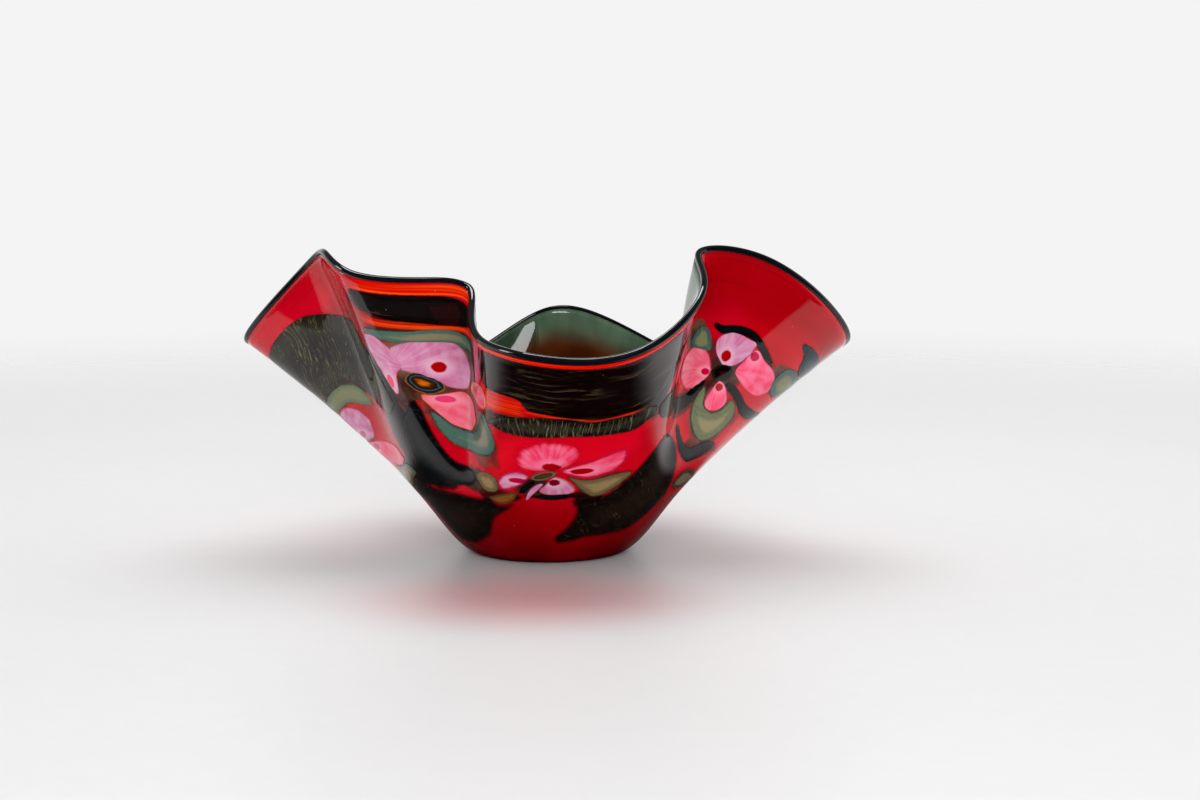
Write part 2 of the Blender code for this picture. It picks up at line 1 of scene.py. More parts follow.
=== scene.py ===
"""The finished ruffled art-glass bowl: cased ruby glass, a black lip wrap and laid-on flowers.

Sizes are in millimetres and are turned to metres where a mesh is made. Laid-on glass is cut on
a flat pattern, 1166 across (once round the rim, 0 at the front) and 200 up (foot to lip).
"""
import math

import bmesh
import bpy
import numpy as np
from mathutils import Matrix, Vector


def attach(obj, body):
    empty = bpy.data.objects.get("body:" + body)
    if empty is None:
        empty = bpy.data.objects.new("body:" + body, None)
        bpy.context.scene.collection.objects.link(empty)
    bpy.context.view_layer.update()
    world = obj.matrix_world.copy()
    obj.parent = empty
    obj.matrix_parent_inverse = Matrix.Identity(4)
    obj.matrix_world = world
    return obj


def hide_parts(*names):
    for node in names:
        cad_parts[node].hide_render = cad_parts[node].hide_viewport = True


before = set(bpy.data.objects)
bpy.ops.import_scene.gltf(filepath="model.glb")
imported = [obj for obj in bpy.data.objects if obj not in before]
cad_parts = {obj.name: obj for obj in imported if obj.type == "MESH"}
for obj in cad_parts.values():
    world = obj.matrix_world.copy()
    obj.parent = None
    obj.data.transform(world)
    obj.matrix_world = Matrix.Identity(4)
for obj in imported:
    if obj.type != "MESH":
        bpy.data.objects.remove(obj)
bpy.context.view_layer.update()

MM = 0.001

# ---- The table, the light and the camera ----
# A pale table top that fades into a white room. Soft panels hang over and beside the bowl,
# and the camera looks a little down on the rim.

TABLE_RADIUS = 2.6
TABLE_FADES = (0.55, 1.5)       # metres from the bowl where the top melts into the room
ROOM_WHITE = 0.90
ROOM_FILL = 0.55                # soft light from all sides
ROOM_DARK_SIDE = 0.03           # what polished glass mirrors from the side of the camera
TABLE_EDGE = (-0.150, -0.138)   # metres: to reflected rays the table is painted dark in front of this edge
TABLE_SHADE = (0.15, 0.19)      # and painted dark inside this reach, a painted shadow of the bowl
TABLE_SHINE = 0.05              # painted extra light on the open table, seen only in reflections
RED_GLOW_PLACE = (-0.01, -0.15, 0.0)   # middle of the red glow that is painted on the table
RED_GLOW_SIZE = (0.10, 0.085, 1.0)
CAMERA_TARGET = Vector((0.031, 0.0, 0.091))
CAMERA_DISTANCE = 1.5
CAMERA_ELEVATION = 7.0
LENS = 75.0


def add_node(tree, kind, sockets=None, **settings):
    """Shader node with its settings, each named socket linked or set."""
    made = tree.nodes.new("ShaderNode" + kind)
    for name, value in settings.items():
        setattr(made, name, value)
    for name, value in (sockets or {}).items():
        if isinstance(value, bpy.types.NodeSocket):
            tree.links.new(value, made.inputs[name])
        else:
            made.inputs[name].default_value = value
    return made


def tree_of(*values):
    """Node tree of the first value that is a socket."""
    return next(value.id_data for value in values if isinstance(value, bpy.types.NodeSocket))


def work_out(operation, first, second=0.0):
    tree = tree_of(first, second)
    return add_node(tree, "Math", {0: first, 1: second}, operation=operation).outputs[0]


def times(first, second):
    return work_out("MULTIPLY", first, second)


def plus(first, second):
    return work_out("ADD", first, second)


def minus(first, second):
    return work_out("SUBTRACT", first, second)


def combine(operation, first, second):
    """Two vectors worked out together."""
    tree = tree_of(first, second)
    return add_node(tree, "VectorMath", {0: first, 1: second}, operation=operation).outputs[0]


def length_of(vector):
    return add_node(vector.id_data, "VectorMath", {0: vector}, operation="LENGTH").outputs["Value"]


def fade(value, start, end, low=0.0, high=1.0):
    """Smooth step from low to high as the value goes from start to end."""
    step = add_node(value.id_data, "MapRange", {0: value, 1: start, 2: end, 3: low, 4: high},
                    interpolation_type="SMOOTHSTEP")
    return step.outputs[0]


def band(value, start, end, soft):
    """One between start and end, with soft borders."""
    rise = fade(value, start - soft, start + soft)
    return times(rise, fade(value, end - soft, end + soft, 1.0, 0.0))


def melt(share, under, over):
    """Runs one colour into another."""
    tree = tree_of(share, under, over)
    return add_node(tree, "Mix", {0: share, 6: under, 7: over}, data_type="RGBA").outputs[2]


def grey(level):
    return add_node(level.id_data, "CombineColor", {0: level, 1: level, 2: level}).outputs[0]


def noise(place, scale, detail):
    return add_node(place.id_data, "TexNoise",
                    {"Vector": place, "Scale": scale, "Detail": detail}).outputs[0]


def tint(red, green, blue):
    """Colour as the eye reads it, 0 to 255, turned into light."""
    return (*((part / 255.0) ** 2.2 for part in (red, green, blue)), 1.0)


table_mesh = bmesh.new()
bmesh.ops.create_circle(table_mesh, cap_ends=True, segments=96, radius=TABLE_RADIUS)
table_top = bpy.data.objects.new("table_top", bpy.data.meshes.new("table_top"))
table_mesh.to_mesh(table_top.data)
table_mesh.free()
bpy.context.scene.collection.objects.link(table_top)
paint = bpy.data.materials.new("table_top")
paint.use_nodes = True
tree = paint.node_tree
shader = tree.nodes["Principled BSDF"]
place = add_node(tree, "TexCoord").outputs["Object"]
reach = length_of(place)
tree.links.new(fade(reach, *TABLE_FADES, 1.0, 0.0), shader.inputs["Alpha"])
grain = noise(place, 60.0, 4.0)
# Painted shade seen in reflections: to glossy rays the table is dark in front of TABLE_EDGE and under a
# painted shadow of the bowl inside TABLE_SHADE.
mirrored = add_node(tree, "LightPath").outputs["Is Glossy Ray"]
forward = add_node(tree, "SeparateXYZ", {0: place}).outputs["Y"]
lit = times(fade(forward, *TABLE_EDGE), fade(reach, *TABLE_SHADE))
dimmed = times(mirrored, minus(1.0, lit))
dimmed = minus(1.0, dimmed)
white = melt(grain, (0.76, 0.76, 0.765, 1), (0.79, 0.79, 0.79, 1))
# Painted red glow on the table, standing for light come through the ruby.
red_glow = combine("SUBTRACT", place, RED_GLOW_PLACE)
red_glow = combine("DIVIDE", red_glow, RED_GLOW_SIZE)
red_glow = length_of(red_glow)
white = melt(fade(red_glow, 0.1, 1.3, 0.62, 0.0), white, (0.72, 0.26, 0.27, 1))
white = add_node(tree, "VectorMath", {0: white}, operation="SCALE")
tree.links.new(dimmed, white.inputs["Scale"])
tree.links.new(white.outputs[0], shader.inputs["Base Color"])
# Painted light: the open table glows a little, for glossy rays only.
shine = times(times(mirrored, lit), TABLE_SHINE)
tree.links.new(grey(shine), shader.inputs["Emission Color"])
shader.inputs["Emission Strength"].default_value = 1.0
shader.inputs["Roughness"].default_value = 0.42
shader.inputs["Specular IOR Level"].default_value = 0.35
table_top.data.materials.append(paint)

room = bpy.data.worlds.new("room")
room.use_nodes = True
bpy.context.scene.world = room
tree = room.node_tree
rays = add_node(tree, "LightPath").outputs
way = add_node(tree, "SeparateXYZ", {0: add_node(tree, "TexCoord").outputs["Generated"]})
behind = fade(way.outputs["Y"], -0.40, -0.05, ROOM_DARK_SIDE, 1.15)
above = fade(way.outputs["Z"], 0.25, 0.65, 1.0, 0.15)
mirrored = times(behind, above)
level = add_node(tree, "Mix", {0: rays["Is Diffuse Ray"], 2: mirrored, 3: ROOM_FILL}).outputs[0]
level = add_node(tree, "Mix", {0: rays["Is Camera Ray"], 2: level, 3: ROOM_WHITE}).outputs[0]
white = grey(level)
tree.links.new(white, tree.nodes["Background"].inputs["Color"])


def hang_panel(name, place, aim, width, height, watts, lights=True, mirrored=True):
    """Soft light panel that faces a point, and may be only a light or only a reflection."""
    lamp = bpy.data.lights.new(name, "AREA")
    lamp.shape = "RECTANGLE"
    lamp.size = width
    lamp.size_y = height
    lamp.energy = watts
    panel = bpy.data.objects.new(name, lamp)
    panel.location = place
    panel.rotation_euler = (Vector(aim) - Vector(place)).to_track_quat("-Z", "Y").to_euler()
    panel.visible_diffuse = lights
    panel.visible_glossy = mirrored
    panel.visible_camera = False
    bpy.context.scene.collection.objects.link(panel)


hang_panel("panel_over", (0.1, 0.35, 1.35), (0.0, 0.0, 0.05), 1.5, 1.1, 12.0, mirrored=False)
hang_panel("panel_small", (0.02, 0.16, 1.1), (0.0, 0.1, 0.1), 0.50, 0.22, 4.0, lights=False)
hang_panel("panel_left", (-1.25, -0.35, 0.75), (0.0, 0.0, 0.1), 0.35, 1.0, 9.0, lights=False)
hang_panel("panel_front", (0.10, -1.7, 0.5), (0.0, 0.0, 0.1), 1.2, 0.6, 15.0, mirrored=False)

camera = bpy.data.objects.new("camera", bpy.data.cameras.new("camera"))
lean = math.radians(CAMERA_ELEVATION)
looking = Vector((0.0, math.cos(lean), -math.sin(lean)))
camera.location = CAMERA_TARGET - looking * CAMERA_DISTANCE
camera.rotation_euler = looking.to_track_quat("-Z", "Y").to_euler()
camera.data.lens = LENS
camera.data.sensor_width = 36.0
bpy.context.scene.collection.objects.link(camera)
bpy.context.scene.camera = camera
bpy.context.scene.view_settings.view_transform = "Standard"

# ---- The ruby wall ----
# The gathered ruby overlay: blown round, then swung open so that its rim falls into lobes and
# folds. It is one thin wall from the polished foot to the rim.

WIDEST_REACH = 178.5        # axis to the rim at the widest lobe
HIGHEST_RIM = 182.0         # foot to the rim at the highest fold
FOOT_RADIUS = 41.0
FOOT_ROLL = 14.0            # how far the foot runs out before the wall turns up
FOOT_SHARE = 20.0           # part of the pattern below zero that covers the foot
BELLY_RADIUS = 81.0
BELLY_HEIGHT = 39.0
BELLY_SLOPE = 47.0          # lean of the wall at the belly, from level
BELLY_ROLL = 22.0
SHOULDER_ROLL = 26.0
BELLY_UP = 80.0             # pattern height of the belly
RIM_ROLL = 0.36
RIM_FLARE = 5.0
RUBY_WALL = 1.6
PATTERN_WIDTH = 1166.0
PATTERN_HEIGHT = 200.0
WALL_COLUMNS = 560
WALL_RINGS = 66
TURN_STEP = 22.0            # millimetres of rim that a bend of one radian counts as

# Angle from the front towards the right, reach as a share of WIDEST_REACH, height as a share
# of HIGHEST_RIM. Most of these numbers are the rounded output of a separate fitting program.
RIM_ROWS = np.array([
    (8.0, 0.896, 0.709), (24.5, 0.854, 0.758), (42.0, 0.756, 0.929),       # front lobe
    (50.5, 0.641, 1.000), (63.0, 0.773, 0.986),                            # right front fold
    (82.5, 0.994, 0.734), (94.5, 0.958, 0.657),                            # right lobe
    (116.0, 0.728, 0.549), (145.0, 0.868, 0.533),                          # right back lobe
    (180.0, 0.717, 0.731), (215.0, 0.868, 0.484),                          # back fold
    (243.0, 0.728, 0.703), (262.5, 0.947, 0.684), (273.0, 1.000, 0.712),   # left lobe
    (286.0, 0.818, 0.945), (295.0, 0.793, 1.000), (308.0, 0.784, 0.945),   # left fold
    (321.0, 0.605, 0.923), (331.0, 0.504, 0.890), (338.0, 0.627, 0.808),   # left front fold
    (350.5, 0.818, 0.739)])


def ring_spline(angles, values, wanted):
    """Smooth closed curve through the values at the angles, read at the wanted angles."""
    count = len(angles)
    gaps = np.diff(np.append(angles, angles[0] + 360.0))
    matrix = np.zeros((count, count))
    for k in range(count):
        matrix[k, k - 1] += gaps[k - 1]
        matrix[k, k] += 2.0 * (gaps[k - 1] + gaps[k])
        matrix[k, (k + 1) % count] += gaps[k]
    following = np.roll(values, -1)
    slopes = (following - values) / gaps
    bends = np.linalg.solve(matrix, 6.0 * (slopes - np.roll(slopes, 1)))
    next_bends = np.roll(bends, -1)
    at = np.mod(wanted - angles[0], 360.0) + angles[0]
    k = np.clip(np.searchsorted(angles, at, side="right") - 1, 0, count - 1)
    after = at - angles[k]
    before = gaps[k] - after
    return (bends[k] * before ** 3 / (6.0 * gaps[k]) + next_bends[k] * after ** 3 / (6.0 * gaps[k])
            + (values[k] / gaps[k] - bends[k] * gaps[k] / 6.0) * before
            + (following[k] / gaps[k] - next_bends[k] * gaps[k] / 6.0) * after)


def rim_at(turns):
    reach = ring_spline(RIM_ROWS[:, 0], RIM_ROWS[:, 1] * WIDEST_REACH, turns)
    height = ring_spline(RIM_ROWS[:, 0], RIM_ROWS[:, 2] * HIGHEST_RIM, turns)
    return reach, height


def bezier(share, *points):
    """Radius and height along a cubic curve, for arrays of shares and control points."""
    rest = 1.0 - share
    weights = (rest ** 3, 3 * rest * rest * share, 3 * rest * share * share, share ** 3)
    return [sum(w * p[axis] for w, p in zip(weights, points)) for axis in (0, 1)]


RIM_TURNS = np.linspace(0.0, 360.0, 2881)
rim_reach, rim_height = rim_at(RIM_TURNS)
rim_line = np.stack([rim_reach * np.sin(np.radians(RIM_TURNS)),
                     -rim_reach * np.cos(np.radians(RIM_TURNS)), rim_height], axis=1)
rim_steps = np.diff(rim_line, axis=0)
rim_lengths = np.linalg.norm(rim_steps, axis=1)
RIM_ALONG = np.concatenate([[0.0], np.cumsum(rim_lengths)])
RIM_ALONG *= PATTERN_WIDTH / RIM_ALONG[-1]


def wall_point(across, up):
    """Points of the wall's outer face, in millimetres, under points of the flat pattern."""
    turns = np.interp(np.mod(across, PATTERN_WIDTH), RIM_ALONG, RIM_TURNS)
    reach, height = rim_at(turns)
    lean = math.radians(BELLY_SLOPE)
    level, rise = math.cos(lean), math.sin(lean)
    belly = (BELLY_RADIUS, BELLY_HEIGHT)
    under = (BELLY_RADIUS - BELLY_ROLL * level, BELLY_HEIGHT - BELLY_ROLL * rise)
    over = (BELLY_RADIUS + SHOULDER_ROLL * level, BELLY_HEIGHT + SHOULDER_ROLL * rise)
    run = np.hypot(reach - belly[0], height - belly[1])
    end = np.arctan2(height - belly[1], reach - belly[0]) - math.radians(RIM_FLARE)
    before_rim = (reach - RIM_ROLL * run * np.cos(end), height - RIM_ROLL * run * np.sin(end))
    low = bezier(np.clip(up / BELLY_UP, 0.0, 1.0), (FOOT_RADIUS, 0.0),
                 (FOOT_RADIUS + FOOT_ROLL, 0.0), under, belly)
    high = bezier(np.maximum((up - BELLY_UP) / (PATTERN_HEIGHT - BELLY_UP), 0.0),
                  belly, over, before_rim, (reach, height))
    radius = np.where(up < BELLY_UP, low[0], high[0])
    radius = np.where(up < 0.0, FOOT_RADIUS * (1.0 + up / FOOT_SHARE), radius)
    rise = np.where(up < BELLY_UP, low[1], high[1])
    turns = np.radians(turns)
    return np.stack([radius * np.sin(turns), -radius * np.cos(turns), rise], axis=-1)


def unit(rows):
    return rows / np.maximum(np.linalg.norm(rows, axis=-1, keepdims=True), 1e-12)


def wall_frame(across, up):
    """Points of the outer face with their directions round, up and out of the wall."""
    near = 0.25
    along = unit(wall_point(across + near, up) - wall_point(across - near, up))
    climb = unit(wall_point(across, np.minimum(up + near, PATTERN_HEIGHT))
                 - wall_point(across, np.minimum(up + near, PATTERN_HEIGHT) - 2 * near))
    return wall_point(across, up), along, climb, unit(np.cross(along, climb))


def mesh_numbers(collection, field, width):
    numbers = np.zeros(len(collection) * width)
    collection.foreach_get(field, numbers)
    return numbers.reshape(-1, width)


def add_piece(name, mesh_data, material, node):
    """Object from a bmesh that rides the bowl and stands for one node."""
    mesh = bpy.data.meshes.new(name)
    mesh_data.to_mesh(mesh)
    mesh_data.free()
    mesh.materials.append(material)
    mesh.shade_smooth()
    piece = bpy.data.objects.new(name, mesh)
    bpy.context.scene.collection.objects.link(piece)
    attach(piece, "root")
    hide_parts(node)
    return piece


def swept_sheet(columns, rings, ring_ups, placing):
    """Grid swept once round the bowl, its seam and foot closed, with the pattern as UV."""
    counted = np.concatenate([[0.0], np.cumsum(rim_lengths + TURN_STEP * rim_bends)])
    marks = np.interp(np.linspace(0.0, counted[-1], columns + 1), counted, RIM_ALONG)
    sheet = bmesh.new()
    pattern = sheet.loops.layers.uv.new("pattern")
    bmesh.ops.create_grid(sheet, x_segments=columns, y_segments=rings, size=0.5)
    share = np.array([vert.co[:2] for vert in sheet.verts]) + 0.5
    across = marks[np.rint(share[:, 0] * columns).astype(int)]
    up = np.interp(share[:, 1], np.linspace(0.0, 1.0, len(ring_ups)), ring_ups)
    for face in sheet.faces:
        for loop in face.loops:
            k = loop.vert.index
            turned = across[k] - PATTERN_WIDTH * (across[k] > PATTERN_WIDTH / 2)
            loop[pattern].uv = (turned, up[k])
    for vert, point in zip(sheet.verts, placing(across, up)):
        vert.co = point * MM
    bmesh.ops.remove_doubles(sheet, verts=sheet.verts, dist=1e-6)
    return sheet


headings = unit(rim_steps)
rim_bends = np.arccos(np.clip(np.sum(headings * np.roll(headings, -1, axis=0), axis=1), -1, 1))


def new_group(name, inputs, outputs):
    """Shader node group with named inputs and outputs."""
    group = bpy.data.node_groups.new(name, "ShaderNodeTree")
    for label, kind, value in inputs:
        socket = group.interface.new_socket(name=label, in_out="INPUT", socket_type="NodeSocket" + kind)
        socket.default_value = value
    for label, kind in outputs:
        group.interface.new_socket(name=label, in_out="OUTPUT", socket_type="NodeSocket" + kind)
    return group, group.nodes.new("NodeGroupInput").outputs, group.nodes.new("NodeGroupOutput")


def pattern_place(tree):
    """Across and up on the flat pattern, in millimetres, and both as one vector."""
    place = add_node(tree, "UVMap", uv_map="pattern").outputs[0]
    parts = add_node(tree, "SeparateXYZ", {0: place})
    return parts.outputs[0], parts.outputs[1], place


def stretched_noise(tree, place, across_scale, up_scale, seed=0.0, detail=3.0, turn=0.0):
    """Noise drawn out along one direction of the pattern."""
    laid = add_node(tree, "Mapping", {"Vector": place, "Rotation": (0.0, 0.0, turn)})
    laid = add_node(tree, "Mapping", {"Vector": laid.outputs[0],
                                      "Location": (seed, seed * 1.7, seed),
                                      "Scale": (across_scale, up_scale, 1.0)})
    return add_node(tree, "TexNoise", {"Vector": laid.outputs[0], "Scale": 1.0,
                                       "Detail": detail}).outputs[0]


ruby_melt, _, done = new_group("ruby_melt", (), (("Color", "Color"), ("Glow", "Color")))
tree = ruby_melt
across, up, place = pattern_place(tree)
# Painted shade and light: the ruby darkens towards the foot and is brightest a little above the middle of
# the wall.
depth = add_node(tree, "ValToRGB", {0: work_out("DIVIDE", up, PATTERN_HEIGHT)})
ramp = depth.color_ramp
ramp.elements[0].color = (0.10, 0.0, 0.002, 1)
ramp.elements[1].color = (0.46, 0.0, 0.006, 1)
for mark, colour in ((0.17, (0.15, 0.0, 0.001, 1)), (0.40, (0.36, 0.0, 0.002, 1)),
                     (0.62, (0.80, 0.001, 0.014, 1)), (0.84, (0.62, 0.0, 0.008, 1))):
    ramp.elements.new(mark).color = colour
drift = stretched_noise(tree, place, 0.012, 0.02, 3.0, 2.0)
crimson = times(fade(up, 60.0, 120.0, 0.1, 0.7), fade(drift, 0.44, 0.60))
colour = melt(crimson, depth.outputs[0], tint(206, 0, 38))
thick = stretched_noise(tree, place, 0.008, 0.03, 31.0, 2.0)
colour = melt(times(fade(thick, 0.45, 0.62), fade(up, 90.0, 150.0, 0.0, 0.6)), colour, tint(140, 0, 8))
lines = stretched_noise(tree, place, 0.004, 0.40, 8.0, 4.0)
lines = times(fade(lines, 0.58, 0.72), fade(up, 165.0, 192.0, 0.0, 0.35))
colour = melt(lines, colour, tint(110, 0, 10))

# Smoke that the leaves and flowers were laid on: middle, half size, strength, and the share of
# olive in it, on the pattern.
SMOKE_STAINS = [
    (-182, 103, 42, 11, 1, 0), (-150, 99, 36, 6, 0.9, 0), (-214, 90, 18, 16, 0.9, 0),
    (-186, 127, 20, 24, 1, 0), (-172, 112, 28, 16, 1, 0), (-190, 148, 20, 15, 1, 0),
    (-164, 146, 12, 10, 0.95, 0), (-135, 164, 56, 12, 0.95, 0.9), (-96, 158, 14, 16, 0.95, 0.5),
    (-150, 151, 34, 8, 0.9, 0.3), (-108, 142, 50, 13, 0.8, 0.6), (-72, 128, 26, 14, 0.7, 0.6),
    (-132, 175, 56, 3, 0.85, 0.2), (-252, 150, 60, 8, 0.95, 0.2), (-300, 160, 24, 20, 0.9, 0.2),
    (-300, 128, 40, 12, 0.6, 0.5), (-232, 108, 36, 8, 0.7, 0.8), (25, 154, 84, 5.5, 1, 0.1),
    (98, 168, 14, 24, 1, 0), (86, 158, 24, 10, 1, 0), (112, 150, 34, 6, 0.95, 0),
    (-52, 151, 12, 5, 0.9, 0.2), (24, 190, 84, 5, 0.9, 0.1), (170, 164, 8, 9, 0.9, 0.6),
    (210, 157, 38, 8, 0.75, 0.5), (202, 150, 24, 8, 0.9, 0.2), (266, 161, 20, 8, 0.85, 0.9),
    (208, 131, 40, 14, 0.8, 0.7), (294, 172, 14, 7, 0.85, 0.1), (182, 145, 14, 5, 0.9, 0.2),
    (210, 116, 44, 6, 0.85, 0), (160, 138, 24, 6, 0.8, 0), (-12, 103, 24, 8, 0.95, 0.2),
    (4, 94.5, 28, 4.5, 0.95, 0), (-98, 104, 20, 10, 0.95, 0.2), (-62, 93, 34, 7, 0.9, 0),
    (46, 92, 18, 18, 0.95, 0), (64, 104, 34, 10, 0.7, 0.5), (-140, 186, 48, 7, 0.95, 0),
    (400, 152, 52, 20, 0.6, 0.4), (-500, 136, 50, 20, 0.6, 0.4),
]
wisps = stretched_noise(tree, place, 0.05, 0.11, 14.0, 3.0)
wisps = times(minus(wisps, 0.5), 1.1)
smoke = 0.0
olive = 0.0
for middle_across, middle_up, half_across, half_up, strength, share in SMOKE_STAINS:
    off_across = work_out("DIVIDE", minus(across, middle_across), half_across)
    off_up = work_out("DIVIDE", minus(up, middle_up), half_up)
    off = add_node(tree, "CombineXYZ", {0: off_across, 1: off_up}).outputs[0]
    off = length_of(off)
    stain = fade(plus(off, wisps), 0.75, 1.15, strength, 0.0)
    smoke = work_out("MAXIMUM", smoke, stain)
    if share:
        olive = work_out("MAXIMUM", olive, times(stain, share))
mossy = melt(fade(wisps, -0.12, 0.15), tint(44, 62, 58), tint(112, 108, 78))
smoke_tone = melt(fade(wisps, -0.1, 0.15), tint(14, 10, 9), tint(30, 24, 20))
smoke_tone = melt(olive, smoke_tone, mossy)
colour = melt(smoke, colour, smoke_tone)
edge_lines = stretched_noise(tree, place, 0.006, 0.9, 21.0, 2.0)

# Painted glow, where thin ruby would be filled with light: span across, heights, softness across and up,
# strength.
GLOW_BANDS = [
    ((-60, 108), (196.9, 199.6), 14.0, 0.7, 0.95),      # under the front lip
    ((-176, -101), (193.6, 199.2), 9.0, 0.8, 0.95),     # under the left front lip
    ((-152, -104), (177.6, 178.8), 14.0, 0.5, 1.0),     # thin line over the left flower
    ((-180, -104), (177.6, 180.2), 8.0, 0.9, 0.75),
    ((-57, -16), (157.5, 169.5), 4.5, 1.5, 0.9),        # patch beside the front shade
    ((300, 520), (195.0, 199.0), 24.0, 1.2, 0.7),       # under the back lip
]
glow_mask = None
for span, heights, soft_across, soft_up, strength in GLOW_BANDS:
    one = times(times(band(across, *span, soft_across), band(up, *heights, soft_up)), strength)
    glow_mask = one if glow_mask is None else work_out("MAXIMUM", glow_mask, one)

# A hair of painted glow, ruby lit through, that runs under the dark shade on the front lobe.
HAIR_SPAN = (-20.0, 88.0)
HAIR_HEIGHTS = (150.0, 170.0)
HAIR_LINE = [(-20, 163.5), (-13, 161.6), (0, 160.6), (20, 159.6), (34, 157.4), (54, 157.4),
             (72, 155.6), (88, 154.4)]
hair = add_node(tree, "FloatCurve", {1: work_out("DIVIDE", minus(across, HAIR_SPAN[0]),
                                                 HAIR_SPAN[1] - HAIR_SPAN[0])})
curve = hair.mapping.curves[0]
for k, (u, v) in enumerate(HAIR_LINE):
    spot = ((u - HAIR_SPAN[0]) / (HAIR_SPAN[1] - HAIR_SPAN[0]),
            (v - HAIR_HEIGHTS[0]) / (HAIR_HEIGHTS[1] - HAIR_HEIGHTS[0]))
    if k in (0, len(HAIR_LINE) - 1):
        curve.points[0 if k == 0 else -1].location = spot
    else:
        curve.points.new(*spot)
hair.mapping.update()
hair_up = work_out("MULTIPLY_ADD", hair.outputs[0], HAIR_HEIGHTS[1] - HAIR_HEIGHTS[0])
hair_up.node.inputs[2].default_value = HAIR_HEIGHTS[0]
off_hair = work_out("ABSOLUTE", minus(up, hair_up))
hair_glow_mask = times(fade(off_hair, 0.3, 1.3, 1.0, 0.0), band(across, -16.0, 76.0, 8.0))
glow_mask = work_out("MAXIMUM", glow_mask, hair_glow_mask)
# Colour of the painted glow: red right under the lip, with orange streaks lower down.
glow_tint = plus(edge_lines, fade(up, 193.0, 199.5, 0.06, -0.12))
glow_tint = minus(glow_tint, fade(up, 170.0, 176.0, 0.12, 0.0))
glow_tint = melt(fade(glow_tint, 0.40, 0.66), tint(206, 6, 4), tint(250, 84, 22))
tree.links.new(melt(glow_mask, colour, glow_tint), done.inputs["Color"])
tree.links.new(melt(times(glow_mask, 0.12), (0, 0, 0, 1), tint(230, 50, 0)), done.inputs["Glow"])

# Hand-worked glass: a slow wave in the surface and a few seeds caught in it.
hand_wave, _, done = new_group("hand_wave", (), (("Normal", "Vector"), ("Seed", "Float")))
tree = hand_wave
place = add_node(tree, "TexCoord").outputs["Object"]
slow = noise(place, 26.0, 1.0)
quick = noise(place, 110.0, 2.0)
height = plus(times(slow, 0.9), times(quick, 0.08))
wave = add_node(tree, "Bump", {"Height": height, "Strength": 0.22, "Distance": 0.0012})
tree.links.new(wave.outputs[0], done.inputs["Normal"])
seeds = add_node(tree, "TexVoronoi", {"Vector": place, "Scale": 210.0})
few = add_node(tree, "TexWhiteNoise", {"Vector": seeds.outputs["Position"]}).outputs["Value"]
seed = times(fade(seeds.outputs["Distance"], 0.05, 0.09, 1.0, 0.0), work_out("GREATER_THAN", few, 0.94))
tree.links.new(seed, done.inputs["Seed"])


def polished_glass(name, roughness=0.035):
    """Material of polished glass, ready for its colour."""
    material = bpy.data.materials.new(name)
    material.use_nodes = True
    shader = material.node_tree.nodes["Principled BSDF"]
    shader.inputs["Roughness"].default_value = roughness
    shader.inputs["IOR"].default_value = 1.50
    shader.inputs["Specular IOR Level"].default_value = 0.45
    wave = add_node(material.node_tree, "Group", node_tree=hand_wave)
    material.node_tree.links.new(wave.outputs["Normal"], shader.inputs["Normal"])
    return material, material.node_tree, shader, wave.outputs["Seed"]


ruby, tree, shader, seed = polished_glass("ruby_wall")
red = add_node(tree, "Group", node_tree=ruby_melt)
tree.links.new(melt(times(seed, 0.35), red.outputs["Color"],
                    tint(250, 150, 150)), shader.inputs["Base Color"])
# The painted glow also shines a little, as emission.
tree.links.new(red.outputs["Glow"], shader.inputs["Emission Color"])
shader.inputs["Emission Strength"].default_value = 0.6

ring_ups = np.concatenate([np.linspace(-FOOT_SHARE, 0.0, 7)[:-1],
                           np.linspace(0.0, PATTERN_HEIGHT, WALL_RINGS - 6 + 1)])
wall = swept_sheet(WALL_COLUMNS, WALL_RINGS, ring_ups, wall_point)
wall_piece = add_piece("ruby_wall_blown", wall, ruby, "ruby_wall")
thickness = wall_piece.modifiers.new("thickness", "SOLIDIFY")
thickness.thickness = RUBY_WALL * MM
thickness.offset = -1.0
thickness.use_even_offset = True

# ---- The inner casing ----
# The first gather, dark green with a brown heart, which lines the ruby inside. It was blown
# with the wall, so it follows the same lobes just inside it.

INNER_CASING = 1.4
SKIN = 0.3                  # clearance between glass pieces that touch
CASING_COLUMNS = 420
CASING_RINGS = 50

casing, tree, shader, seed = polished_glass("inner_casing", 0.05)
across, up, place = pattern_place(tree)
streaks = stretched_noise(tree, place, 0.03, 0.006, 5.0, 3.0)
cloud = stretched_noise(tree, place, 0.012, 0.02, 11.0, 3.0)
green = melt(fade(streaks, 0.35, 0.65), tint(40, 60, 44), tint(84, 104, 84))
brown = melt(fade(cloud, 0.35, 0.65), tint(46, 20, 8), tint(92, 46, 22))
heart = plus(up, times(cloud, 12.0))
colour = melt(fade(heart, 178.0, 199.0), brown, green)
colour = melt(fade(up, 60.0, 130.0, 0.75, 0.0), colour, tint(22, 20, 18))
colour = melt(fade(up, 0.0, 45.0, 1.0, 0.0), colour, tint(28, 21, 17))
tree.links.new(colour, shader.inputs["Base Color"])
ring_ups = np.concatenate([np.linspace(-FOOT_SHARE, 0.0, 6)[:-1],
                           np.linspace(0.0, PATTERN_HEIGHT, CASING_RINGS - 5 + 1)])
lining = swept_sheet(CASING_COLUMNS, CASING_RINGS, ring_ups, wall_point)
lining_piece = add_piece("inner_casing_blown", lining, casing, "inner_casing")
thickness = lining_piece.modifiers.new("thickness", "SOLIDIFY")
inner, outer = -RUBY_WALL - SKIN - INNER_CASING, -RUBY_WALL - SKIN
thickness.thickness = (outer - inner) * MM
thickness.offset = (outer + inner) / (outer - inner)
thickness.use_even_offset = True

